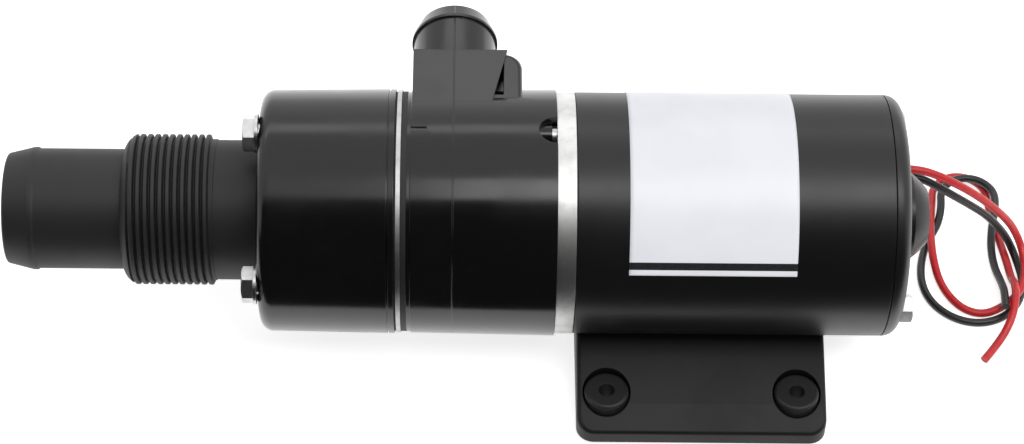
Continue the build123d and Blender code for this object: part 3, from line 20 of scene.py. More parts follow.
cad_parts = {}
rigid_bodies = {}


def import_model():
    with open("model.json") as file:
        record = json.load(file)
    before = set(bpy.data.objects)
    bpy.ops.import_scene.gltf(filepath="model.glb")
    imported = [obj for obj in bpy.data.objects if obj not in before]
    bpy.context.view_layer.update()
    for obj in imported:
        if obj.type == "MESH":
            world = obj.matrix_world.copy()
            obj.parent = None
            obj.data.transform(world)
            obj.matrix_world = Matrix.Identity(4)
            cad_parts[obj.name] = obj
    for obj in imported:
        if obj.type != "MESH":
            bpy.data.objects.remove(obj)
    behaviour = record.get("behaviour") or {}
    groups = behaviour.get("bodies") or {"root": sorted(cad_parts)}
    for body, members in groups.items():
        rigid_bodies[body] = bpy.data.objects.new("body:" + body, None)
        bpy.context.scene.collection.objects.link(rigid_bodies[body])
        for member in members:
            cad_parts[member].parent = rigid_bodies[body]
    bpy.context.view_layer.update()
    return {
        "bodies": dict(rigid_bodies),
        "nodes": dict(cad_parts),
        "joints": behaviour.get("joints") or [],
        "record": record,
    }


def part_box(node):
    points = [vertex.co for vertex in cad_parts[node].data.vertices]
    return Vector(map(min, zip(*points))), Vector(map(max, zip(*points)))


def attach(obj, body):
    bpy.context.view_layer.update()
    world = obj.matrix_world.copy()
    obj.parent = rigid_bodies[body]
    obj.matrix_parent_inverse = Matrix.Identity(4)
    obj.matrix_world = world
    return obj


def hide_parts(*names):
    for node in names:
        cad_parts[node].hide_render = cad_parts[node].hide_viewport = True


LOG = logging.getLogger("pump")
MM = 0.001
BEVEL_SAMPLES = 6
BLACK_LIFT = 0.004
MATTE_MARGIN = 0.2 * MM
Colour = tuple[float, float, float]


# Node trees


class Bench:
    """Short ways to add and join nodes in one shader tree."""

    def __init__(self, tree: bpy.types.NodeTree) -> None:
        """Keep the tree.

        Args:
            tree: The node tree to build in.
        """
        self.tree = tree

    def add(self, kind: str, settings: dict[str, object] | None = None,
            **inputs: object) -> bpy.types.Node:
        """Add a node, set its properties and its inputs.

        Args:
            kind: Node type without its ShaderNode prefix.
            settings: Property names and values.
            **inputs: Input names, with underscores for spaces, and a value or a socket for each.

        Returns:
            The new node.
        """
        node = self.tree.nodes.new("ShaderNode" + kind)
        for name, value in (settings or {}).items():
            setattr(node, name, value)
        for name, value in inputs.items():
            self.feed(node.inputs[name.replace("_", " ")], value)
        return node

    def feed(self, socket: bpy.types.NodeSocket, value: object) -> None:
        """Link a socket to an input, or set the input's own value.

        Args:
            socket: The input socket.
            value: A socket to link, or a plain value.
        """
        if isinstance(value, bpy.types.NodeSocket):
            self.tree.links.new(value, socket)
        else:
            socket.default_value = value

    def maths(self, operation: str, first: object, second: object = 0.0) -> bpy.types.NodeSocket:
        """Result of one maths step on two values or sockets.

        Args:
            operation: The Math node's operation.
            first: First operand.
            second: Second operand.

        Returns:
            The result's socket.
        """
        node = self.add("Math", {"operation": operation})
        self.feed(node.inputs[0], first)
        self.feed(node.inputs[1], second)
        return node.outputs[0]

    def between(self, value: object, low: float, high: float, at_low: float, at_high: float,
                smooth: bool = False) -> bpy.types.NodeSocket:
        """Value carried from one range to another, held at both ends.

        Args:
            value: The socket to carry over.
            low: Start of its own range.
            high: End of its own range.
            at_low: Result at the start.
            at_high: Result at the end.
            smooth: Ease in and out.

        Returns:
            The result's socket.
        """
        kind = "SMOOTHSTEP" if smooth else "LINEAR"
        node = self.add("MapRange", {"interpolation_type": kind}, Value=value, From_Min=low,
                        From_Max=high, To_Min=at_low, To_Max=at_high)
        return node.outputs["Result"]

    def mix(self, share: object, first: object, second: object) -> bpy.types.NodeSocket:
        """Blend of two colours.

        Args:
            share: Share of the second colour.
            first: First colour, as a socket or four numbers.
            second: Second colour.

        Returns:
            The blended colour's socket.
        """
        node = self.add("Mix", {"data_type": "RGBA"})
        self.feed(node.inputs["Factor"], share)
        self.feed(node.inputs["A"], first)
        self.feed(node.inputs["B"], second)
        return node.outputs["Result"]

    def place(self) -> bpy.types.NodeSocket:
        """Object coordinates, in metres."""
        return self.add("TexCoord").outputs["Object"]

    def along(self) -> bpy.types.NodeSocket:
        """Object coordinate x, in metres."""
        return self.add("SeparateXYZ", Vector=self.place()).outputs["X"]

    def noise(self, vector: object, scale: float, detail: float = 3.0,
              roughness: float = 0.5) -> bpy.types.NodeSocket:
        """Value of a noise pattern.

        Args:
            vector: Place to read it at.
            scale: Patches in a metre.
            detail: Number of finer layers.
            roughness: Strength of the finer layers.

        Returns:
            The value's socket.
        """
        node = self.add("TexNoise", Vector=vector, Scale=scale, Detail=detail, Roughness=roughness)
        return node.outputs["Fac"]


def rgba(colour: Colour) -> tuple[float, float, float, float]:
    """Colour with full alpha."""
    return (*colour, 1.0)


@dataclass
class Effects:
    """Shader groups that several finishes share, each built once."""

    groups: dict[str, bpy.types.NodeTree] = field(default_factory=dict)

    def start(self, name: str, inputs: dict[str, float],
              outputs: list[str]) -> tuple[Bench, bpy.types.Node, bpy.types.Node]:
        """Empty group with its sockets.

        Args:
            name: The group's name.
            inputs: Names of its number inputs and their usual values.
            outputs: Names of its number outputs.

        Returns:
            A bench on the group, its input node and its output node.
        """
        tree = bpy.data.node_groups.new(name, "ShaderNodeTree")
        for label, value in inputs.items():
            socket = tree.interface.new_socket(label, in_out="INPUT", socket_type="NodeSocketFloat")
            socket.default_value = value
        for label in outputs:
            tree.interface.new_socket(label, in_out="OUTPUT", socket_type="NodeSocketFloat")
        into = tree.nodes.new("NodeGroupInput")
        out = tree.nodes.new("NodeGroupOutput")
        self.groups[name] = tree
        return Bench(tree), into, out

    def build(self) -> None:
        """Make every group."""
        self.build_grain()
        self.build_handling()
        self.build_turning()
        self.build_scratches()
        self.build_seam()

    def build_grain(self) -> None:
        """Fine moulded grain: two noises of unlike size, as a height."""
        bench, into, out = self.start("grain", {"Scale": 2500.0, "Coarse": 0.3}, ["Height"])
        coarse_share = 0.13
        scale = into.outputs["Scale"]
        place = bench.place()
        fine = bench.add("TexNoise", Vector=place, Scale=scale, Detail=2.0).outputs["Fac"]
        wide = bench.maths("MULTIPLY", scale, coarse_share)
        coarse = bench.add("TexNoise", Vector=place, Scale=wide, Detail=2.0).outputs["Fac"]
        part = bench.maths("MULTIPLY", coarse, into.outputs["Coarse"])
        bench.feed(out.inputs["Height"], bench.maths("ADD", fine, part))

    def build_handling(self) -> None:
        """Soft smudges where the piece was handled, and a few small marks."""
        bench, into, out = self.start("handling", {"Scale": 35.0}, ["Smudge", "Marks"])
        marks_in_smudge = 14.0
        scale = into.outputs["Scale"]
        place = bench.place()
        smudge = bench.add("TexNoise", Vector=place, Scale=scale, Detail=4.0, Roughness=0.62).outputs["Fac"]
        bench.feed(out.inputs["Smudge"], bench.between(smudge, 0.4, 0.68, 0.0, 1.0, smooth=True))
        finer = bench.maths("MULTIPLY", scale, marks_in_smudge)
        speck = bench.add("TexNoise", Vector=place, Scale=finer, Detail=3.0).outputs["Fac"]
        bench.feed(out.inputs["Marks"], bench.between(speck, 0.68, 0.74, 0.0, 1.0))

    def build_turning(self) -> None:
        """Lathe marks round the X axis: ridges that follow x, uneven by a noise on x alone."""
        bench, into, out = self.start("turning", {"Pitch": 0.00018}, ["Height"])
        turns = bench.maths("DIVIDE", bench.along(), into.outputs["Pitch"])
        line = bench.add("CombineXYZ", X=turns).outputs["Vector"]
        height = bench.add("TexNoise", Vector=line, Scale=1.0, Detail=3.0, Roughness=0.7).outputs["Fac"]
        bench.feed(out.inputs["Height"], height)

    def build_scratches(self) -> None:
        """Hair scratches: a noise drawn out along one slanted direction, cut to thin lines."""
        bench, into, out = self.start("scratches", {"Scale": 60.0, "Turn": 0.6}, ["Height", "Mask"])
        drawn_out = 24.0
        half_line = 0.012
        patches_in_metre = 90.0
        turn = bench.add("CombineXYZ", X=0.3, Y=0.2, Z=into.outputs["Turn"]).outputs["Vector"]
        euler = {"rotation_type": "EULER_XYZ"}
        laid = bench.add("VectorRotate", euler, Vector=bench.place(), Rotation=turn).outputs["Vector"]
        drawn = bench.add("Mapping", Vector=laid, Scale=(1.0, drawn_out, drawn_out)).outputs["Vector"]
        scale = into.outputs["Scale"]
        value = bench.add("TexNoise", Vector=drawn, Scale=scale, Detail=2.0).outputs["Fac"]
        off = bench.maths("ABSOLUTE", bench.maths("SUBTRACT", value, 0.5))
        line = bench.between(off, 0.0, half_line, 1.0, 0.0)
        patch = bench.between(bench.noise(bench.place(), patches_in_metre), 0.5, 0.6, 0.0, 1.0)
        mask = bench.maths("MULTIPLY", line, patch)
        bench.feed(out.inputs["Mask"], mask)
        bench.feed(out.inputs["Height"], bench.maths("MULTIPLY", mask, -1.0))

    def build_seam(self) -> None:
        """Thin raised line where two mould halves met: a plane of constant x, as a height."""
        bench, into, out = self.start("mould_seam", {"Place": 0.0, "Half_Width": 0.0002}, ["Height"])
        off = bench.maths("ABSOLUTE", bench.maths("SUBTRACT", bench.along(), into.outputs["Place"]))
        share = bench.maths("DIVIDE", off, into.outputs["Half_Width"])
        bench.feed(out.inputs["Height"], bench.between(share, 0.5, 1.5, 1.0, 0.0, smooth=True))

    def use(self, bench: Bench, name: str, **values: object) -> bpy.types.Node:
        """Place a group in a material with its own values.

        Args:
            bench: Bench on the material's tree.
            name: The group's name.
            **values: Input names and values.

        Returns:
            The group node.
        """
        node = bench.tree.nodes.new("ShaderNodeGroup")
        node.node_tree = self.groups[name]
        for label, value in values.items():
            bench.feed(node.inputs[label], value)
        return node


EFFECTS = Effects()


def new_material(name: str) -> tuple[bpy.types.Material, Bench, bpy.types.Node]:
    """Material with one Principled shader.

    Args:
        name: Its name.

    Returns:
        The material, a bench on its tree and its Principled node.
    """
    material = bpy.data.materials.new(name)
    material.use_nodes = True
    bench = Bench(material.node_tree)
    return material, bench, material.node_tree.nodes["Principled BSDF"]


def bump(bench: Bench, height: object, distance: float,
         normal: object | None = None) -> bpy.types.NodeSocket:
    """Normal bent by a height.

    Args:
        bench: Bench on the material's tree.
        height: Height socket, from 0 to 1.
        distance: What a height of 1 stands for, in metres.
        normal: Normal to start from.

    Returns:
        The normal's socket.
    """
    node = bench.add("Bump", Height=height, Distance=distance)
    if normal is not None:
        bench.feed(node.inputs["Normal"], normal)
    return node.outputs["Normal"]


def soft_edges(bench: Bench, radius: float) -> bpy.types.NodeSocket:
    """Normal that rounds the edges.

    Args:
        bench: Bench on the material's tree.
        radius: Radius of the rounding, in metres.

    Returns:
        The normal's socket.
    """
    return bench.add("Bevel", {"samples": BEVEL_SAMPLES}, Radius=radius).outputs["Normal"]


def set_inputs(shader: bpy.types.Node, **values: object) -> None:
    """Set plain values of a shader's inputs.

    Args:
        shader: The shader's node.
        **values: Input names, with underscores for spaces, and their values.
    """
    for name, value in values.items():
        shader.inputs[name.replace("_", " ")].default_value = value


def tinted(colour: Colour, share: float, lift: float = 0.0) -> tuple[float, float, float, float]:
    """Colour made lighter or darker, with full alpha.

    Args:
        colour: The colour to start from.
        share: What each channel is multiplied by.
        lift: What is then added to each channel.

    Returns:
        The colour, with no channel over 1.
    """
    return rgba(tuple(min(1.0, channel * share + lift) for channel in colour))


# Finishes


@dataclass(frozen=True)
class Moulding:
    """Moulded plastic or rubber: grain, smudges, small marks, hair scratches and softened edges."""

    name: str
    colour: Colour
    roughness: float
    grain_scale: float = 2500.0
    grain_depth: float = 0.000006
    edge_radius: float = 0.0003
    smudge: float = 0.06
    scratch: float = 0.05
    specular: float = 0.5
    marks: float = 0.5
    lighter: float = 1.5

    def build(self) -> bpy.types.Material:
        """Make the material.

        Returns:
            The material.
        """
        material, bench, shader = new_material(self.name)
        set_inputs(shader, Specular_IOR_Level=self.specular)
        grain = EFFECTS.use(bench, "grain", Scale=self.grain_scale)
        handling = EFFECTS.use(bench, "handling")
        scratches = EFFECTS.use(bench, "scratches")
        lighter = tinted(self.colour, self.lighter, BLACK_LIFT)
        share = bench.maths("MULTIPLY", handling.outputs["Marks"], self.marks)
        tint = bench.mix(share, self.base_colour(bench), lighter)
        bench.feed(shader.inputs["Base Color"], bench.mix(scratches.outputs["Mask"], tint, lighter))
        rough = bench.maths("MULTIPLY", handling.outputs["Smudge"], self.smudge)
        rough = bench.maths("ADD", rough, self.base_roughness(bench))
        scratched = bench.maths("MULTIPLY", scratches.outputs["Mask"], self.scratch)
        rough = bench.maths("ADD", rough, scratched)
        bench.feed(shader.inputs["Roughness"], rough)
        edges = soft_edges(bench, self.edge_radius)
        normal = bump(bench, grain.outputs["Height"], self.grain_depth, normal=edges)
        normal = self.extra_relief(bench, normal)
        bench.feed(shader.inputs["Normal"], normal)
        return material

    def base_colour(self, bench: Bench) -> object:
        """Colour before marks and scratches."""
        return rgba(self.colour)

    def base_roughness(self, bench: Bench) -> object:
        """Roughness before smudges and scratches."""
        return self.roughness

    def extra_relief(self, bench: Bench, normal: bpy.types.NodeSocket) -> bpy.types.NodeSocket:
        """Relief beyond the grain. Plain mouldings have none."""
        return normal


@dataclass(frozen=True)
class HousingMoulding(Moulding):
    """Polished housing: long sink waves and, where asked for, a mould seam and a matte front end."""

    wave_scale: float = 38.0
    wave_depth: float = 0.00012
    matte_end: float | None = None
    matte_roughness: float = 0.55
    matte_colour: Colour = (0.013, 0.013, 0.0135)
    matte_blend: float = 0.4 * MM
    seam_at: float | None = None
    seam_height: float = 0.00014

    def polished(self, bench: Bench) -> bpy.types.NodeSocket:
        """Share of polish on each side of the plane where the matte end stops.

        Args:
            bench: Bench on the material's tree.

        Returns:
            Zero in front of the plane, and one behind it.
        """
        low = self.matte_end - self.matte_blend
        high = self.matte_end + self.matte_blend
        return bench.between(bench.along(), low, high, 0.0, 1.0)

    def base_colour(self, bench: Bench) -> object:
        """Colour before marks and scratches, greyer on the matte end.

        Args:
            bench: Bench on the material's tree.

        Returns:
            The colour, or its socket.
        """
        if self.matte_end is None:
            return rgba(self.colour)
        return bench.mix(self.polished(bench), rgba(self.matte_colour), rgba(self.colour))

    def base_roughness(self, bench: Bench) -> object:
        """Roughness before smudges and scratches, higher on the matte end.

        Args:
            bench: Bench on the material's tree.

        Returns:
            The roughness, or its socket.
        """
        if self.matte_end is None:
            return self.roughness
        return bench.between(self.polished(bench), 0.0, 1.0, self.matte_roughness, self.roughness)

    def extra_relief(self, bench: Bench, normal: bpy.types.NodeSocket) -> bpy.types.NodeSocket:
        """Sink waves, and the seam where the mould halves met.

        Args:
            bench: Bench on the material's tree.
            normal: Normal to start from.

        Returns:
            The normal's socket.
        """
        waves = bench.noise(bench.place(), self.wave_scale, 1.0)
        normal = bump(bench, waves, self.wave_depth, normal=normal)
        if self.seam_at is not None:
            seam = EFFECTS.use(bench, "mould_seam", Place=self.seam_at)
            normal = bump(bench, seam.outputs["Height"], self.seam_height, normal=normal)
        return normal


@dataclass(frozen=True)
class Paint:
    """Satin paint on metal: orange peel, smudges and hair scratches."""

    name: str
    colour: Colour
    roughness: float
    peel_scale: float = 700.0
    peel_depth: float = 0.000012
    edge_radius: float = 0.0003
    smudge: float = 0.05
    lighter: float = 1.6

    def build(self) -> bpy.types.Material:
        """Make the material.

        Returns:
            The material.
        """
        material, bench, shader = new_material(self.name)
        peel = bench.noise(bench.place(), self.peel_scale, 1.5)
        handling = EFFECTS.use(bench, "handling", Scale=28.0)
        scratches = EFFECTS.use(bench, "scratches", Turn=1.2)
        lighter = tinted(self.colour, self.lighter, BLACK_LIFT)
        tint = bench.mix(scratches.outputs["Mask"], rgba(self.colour), lighter)
        bench.feed(shader.inputs["Base Color"], tint)
        smudged = bench.maths("MULTIPLY", handling.outputs["Smudge"], self.smudge)
        bench.feed(shader.inputs["Roughness"], bench.maths("ADD", smudged, self.roughness))
        edges = soft_edges(bench, self.edge_radius)
        bench.feed(shader.inputs["Normal"], bump(bench, peel, self.peel_depth, normal=edges))
        return material


@dataclass(frozen=True)
class Metal:
    """Bare or plated metal: blotches, with lathe marks where it was turned and scratches elsewhere."""

    name: str
    colour: Colour
    roughness: float
    blotch: float = 0.08
    blotch_scale: float = 220.0
    turned: bool = False
    pitch: float = 0.00018
    groove: float = 0.000008
    edge_radius: float = 0.00025
    darker: float = 0.78
    scratch_scale: float = 180.0

    def build(self) -> bpy.types.Material:
        """Make the material.

        Returns:
            The material.
        """
        material, bench, shader = new_material(self.name)
        set_inputs(shader, Metallic=1.0)
        patches = bench.noise(bench.place(), self.blotch_scale, 4.0, 0.6)
        darker = tinted(self.colour, self.darker)
        share = bench.between(patches, 0.42, 0.75, 0.0, 1.0)
        bench.feed(shader.inputs["Base Color"], bench.mix(share, rgba(self.colour), darker))
        rough = bench.maths("ADD", bench.maths("MULTIPLY", patches, self.blotch), self.roughness)
        bench.feed(shader.inputs["Roughness"], rough)
        edges = soft_edges(bench, self.edge_radius)
        if self.turned:
            marks = EFFECTS.use(bench, "turning", Pitch=self.pitch)
        else:
            marks = EFFECTS.use(bench, "scratches", Scale=self.scratch_scale)
        normal = bump(bench, marks.outputs["Height"], self.groove, normal=edges)
        bench.feed(shader.inputs["Normal"], normal)
        return material


@dataclass(frozen=True)
class Film:
    """White printed film: a black band along one edge, in the film's own UV, and no words."""

    name: str
    white: Colour
    band: Colour
    band_from: float
    band_to: float
    band_blur: float = 0.0008
    paper_roughness: float = 0.38
    ink_roughness: float = 0.3
    greyer: float = 0.95
    wrinkle_depth: float = 0.00003

    def build(self) -> bpy.types.Material:
        """Make the material.

        Returns:
            The material.
        """
        material, bench, shader = new_material(self.name)
        across = bench.add("SeparateXYZ", Vector=bench.add("UVMap").outputs["UV"]).outputs["Y"]
        blur = self.band_blur
        above = bench.between(across, self.band_from - blur, self.band_from + blur, 0.0, 1.0)
        below = bench.between(across, self.band_to - blur, self.band_to + blur, 1.0, 0.0)
        printed = bench.maths("MULTIPLY", above, below)
        speck = bench.noise(bench.place(), 4000.0, 1.0)
        ink = bench.between(speck, 0.3, 0.7, 0.96, 1.0)
        wash = bench.noise(bench.place(), 55.0, 2.0)
        greyer = tinted(self.white, self.greyer)
        paper = bench.mix(bench.between(wash, 0.4, 0.7, 0.0, 1.0), rgba(self.white), greyer)
        inked = bench.maths("MULTIPLY", printed, ink)
        bench.feed(shader.inputs["Base Color"], bench.mix(inked, paper, rgba(self.band)))
        rough = bench.between(printed, 0.0, 1.0, self.paper_roughness, self.ink_roughness)
        bench.feed(shader.inputs["Roughness"], rough)
        wrinkles = bench.noise(bench.place(), 60.0, 2.0)
        bench.feed(shader.inputs["Normal"], bump(bench, wrinkles, self.wrinkle_depth))
        return material


@dataclass(frozen=True)
class Sleeve:
    """Soft PVC sleeve of a lead: faint patches and a fine uneven surface."""

    name: str
    colour: Colour
    roughness: float = 0.36
    smoother: float = 0.05
    rougher: float = 0.07
    darker: float = 0.82
    line_depth: float = 0.00001

    def build(self) -> bpy.types.Material:
        """Make the material.

        Returns:
            The material.
        """
        material, bench, shader = new_material(self.name)
        place = bench.place()
        patches = bench.noise(place, 420.0, 3.0)
        darker = tinted(self.colour, self.darker)
        share = bench.between(patches, 0.35, 0.7, 0.0, 1.0)
        bench.feed(shader.inputs["Base Color"], bench.mix(share, rgba(self.colour), darker))
        low = self.roughness - self.smoother
        high = self.roughness + self.rougher
        bench.feed(shader.inputs["Roughness"], bench.between(patches, 0.3, 0.7, low, high))
        lines = bench.noise(place, 1500.0, 2.0)
        bench.feed(shader.inputs["Normal"], bump(bench, lines, self.line_depth))
        return material


class FinishName(Enum):
    """Names of the finishes, each made once."""

    INLET = "polished_inlet_moulding"
    BODY = "polished_body_moulding"
    BASE = "matte_base_moulding"
    GASKET = "gasket_rubber"
    BUSH = "bush_rubber"
    PLATE = "bright_plate"
    ZINC = "zinc_plate"
    ALUMINIUM = "turned_aluminium"
    CAN = "satin_can_paint"
    BELL = "satin_bell_paint"
    STEEL = "ground_steel"
    BRASS = "plain_brass"
    COPPER = "bare_copper"
    STACK = "stacked_steel"
    MAGNET = "sintered_magnet"
    BOARD = "insulating_board"
    CARBON = "pressed_carbon"
    NYLON = "natural_nylon"
    IMPELLER = "impeller_rubber"
    LABEL = "label_film"
    RED = "red_sleeve"
    BLACK = "black_sleeve"


@dataclass
class Finishes:
    """Every finish of the pump.

    The inlet housing is matte in front of head_front, and the body's mould seam lies at seam_at. Both are
    places on X, in metres.
    """

    head_front: float
    seam_at: float
    made: dict[FinishName, bpy.types.Material] = field(default_factory=dict)

    def build(self) -> None:
        """Make each finish once."""
        black = (0.0045, 0.0045, 0.005)
        name = FinishName
        recipes = [
            HousingMoulding(name.INLET.value, black, 0.17, matte_end=self.head_front - MATTE_MARGIN,
                            grain_depth=0.000003),
            HousingMoulding(name.BODY.value, black, 0.15, seam_at=self.seam_at, grain_depth=0.000003),
            Moulding(name.BASE.value, (0.0055, 0.0055, 0.006), 0.48, grain_scale=3200.0,
                     grain_depth=0.00002, specular=0.32),
            Moulding(name.GASKET.value, (0.012, 0.012, 0.012), 0.6),
            Moulding(name.BUSH.value, (0.012, 0.012, 0.013), 0.5, grain_depth=0.00001,
                     edge_radius=0.0004),
            Metal(name.PLATE.value, (0.6, 0.6, 0.595), 0.42),
            Metal(name.ZINC.value, (0.64, 0.645, 0.64), 0.26, blotch=0.16),
            Metal(name.ALUMINIUM.value, (0.77, 0.77, 0.76), 0.42, turned=True),
            Paint(name.CAN.value, (0.0055, 0.0055, 0.006), 0.35),
            Paint(name.BELL.value, (0.0065, 0.0065, 0.007), 0.34, peel_scale=900.0),
            Metal(name.STEEL.value, (0.62, 0.62, 0.63), 0.25, turned=True, pitch=0.00012,
                  groove=0.000004),
            Metal(name.BRASS.value, (0.78, 0.6, 0.3), 0.3),
            Metal(name.COPPER.value, (0.8, 0.42, 0.26), 0.32, turned=True, pitch=0.0006, groove=0.00003),
            Metal(name.STACK.value, (0.42, 0.42, 0.43), 0.42, turned=True, pitch=0.0005, groove=0.00002),
            Moulding(name.MAGNET.value, (0.05, 0.05, 0.055), 0.6, grain_depth=0.00002),
            Moulding(name.BOARD.value, (0.24, 0.13, 0.06), 0.5),
            Moulding(name.CARBON.value, (0.03, 0.03, 0.032), 0.4),
            Moulding(name.NYLON.value, (0.72, 0.69, 0.6), 0.4),
            Moulding(name.IMPELLER.value, (0.018, 0.018, 0.018), 0.55),
            Film(name.LABEL.value, (0.82, 0.83, 0.88), (0.005, 0.005, 0.006), 0.9521, 0.9793),
            Sleeve(name.RED.value, (0.62, 0.018, 0.022)),
            Sleeve(name.BLACK.value, (0.014, 0.014, 0.015)),
        ]
        for recipe in recipes:
            self.made[FinishName(recipe.name)] = recipe.build()

    def dress(self, piece: bpy.types.Object, finish: FinishName) -> None:
        """Give every slot of a piece one finish.

        Args:
            piece: The piece.
            finish: Its finish.
        """
        material = self.made[finish]
        if not piece.material_slots:
            piece.data.materials.append(material)
        for slot in piece.material_slots:
            slot.material = material

    def dress_all(self, nodes: dict[str, bpy.types.Object], choices: dict[FinishName, list[str]]) -> None:
        """Give each of several nodes its finish.

        Args:
            nodes: The frame's nodes by name.
            choices: Finishes, and the names of the nodes that have each.
        """
        for finish, names in choices.items():
            for name in names:
                self.dress(nodes[name], finish)


# Surfaces


def mesh_piece(name: str, points: np.ndarray, faces: np.ndarray,
               uv: np.ndarray | None = None) -> bpy.types.Object:
    """Mesh object from points and four-cornered faces.

    Args:
        name: The piece's name.
        points: Array of shape (n, 3), in metres.
        faces: Array of shape (m, 4) of point numbers.
        uv: Array of shape (n, 2), one pair for each point, or None.

    Returns:
        The linked object, with smooth faces.
    """
    mesh = bpy.data.meshes.new(name)
    mesh.from_pydata(points.tolist(), [], faces.tolist())
    mesh.polygons.foreach_set("use_smooth", np.ones(len(mesh.polygons), bool))
    if uv is not None:
        layer = mesh.uv_layers.new(name="UVMap")
        corners = np.zeros(len(mesh.loops), np.int32)
        mesh.loops.foreach_get("vertex_index", corners)
        layer.data.foreach_set("uv", uv[corners].ravel())
    mesh.update()
    piece = bpy.data.objects.new(name, mesh)
    bpy.context.scene.collection.objects.link(piece)
    return piece


def grid_faces(rows: int, columns: int) -> np.ndarray:
    """Four-cornered faces of an open grid of points.

    Args:
        rows: Points along the first parameter.
        columns: Points along the second parameter.

    Returns:
        Array of shape (n, 4).
    """
    i, j = np.meshgrid(np.arange(rows - 1), np.arange(columns - 1), indexing="ij")
    corner = (i * columns + j).ravel()
    return np.stack([corner, corner + columns, corner + columns + 1, corner + 1], axis=1)


# Motor


@dataclass
class Motor:
    """Outside of the motor: can, label, end bell, lead grommet, bracket and through bolts."""

    finishes: Finishes
    nodes: dict[str, bpy.types.Object]
    axis_height: float
    label_start: float = 20.0
    label_end: float = 160.0
    label_thickness: float = 0.15 * MM
    label_rows: int = 40
    label_columns: int = 181

    def build_label(self) -> bpy.types.Object:
        """Label as a film round the can.

        The film is a strip of a cylinder about the motor's axis. Its first parameter runs along x and its
        second is the angle from +Y towards +Z. It is drawn at its outer face and thickened inwards.

        Returns:
            The label.
        """
        low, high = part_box("label")
        outer = high.z - self.axis_height
        rows = self.label_rows
        columns = self.label_columns
        along = np.linspace(low.x, high.x, rows)
        turn = np.radians(np.linspace(self.label_start, self.label_end, columns))
        x, angle = np.meshgrid(along, turn, indexing="ij")
        points = np.stack([x, outer * np.cos(angle), self.axis_height + outer * np.sin(angle)], axis=-1)
        u, v = np.meshgrid(np.linspace(0, 1, rows), np.linspace(0, 1, columns), indexing="ij")
        uv = np.stack([u, v], axis=-1).reshape(-1, 2)
        faces = grid_faces(rows, columns)[:, ::-1]
        label = mesh_piece("label_sheet", points.reshape(-1, 3), faces, uv)
        solid = label.modifiers.new("thickness", "SOLIDIFY")
        solid.thickness = self.label_thickness
        solid.offset = -1.0
        self.finishes.dress(label, FinishName.LABEL)
        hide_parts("label")
        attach(label, "pump")
        return label

    def build(self) -> list[bpy.types.Object]:
        """Dress the motor's outside and make the label.

        Returns:
            The label alone.
        """
        self.finishes.dress_all(self.nodes, {
            FinishName.CAN: ["motor_can"],
            FinishName.BELL: ["end_bell"],
            FinishName.GASKET: ["lead_grommet"],
            FinishName.ALUMINIUM: ["front_bracket"],
            FinishName.ZINC: ["through_bolts"],
        })
        return [self.build_label()]


# Leads


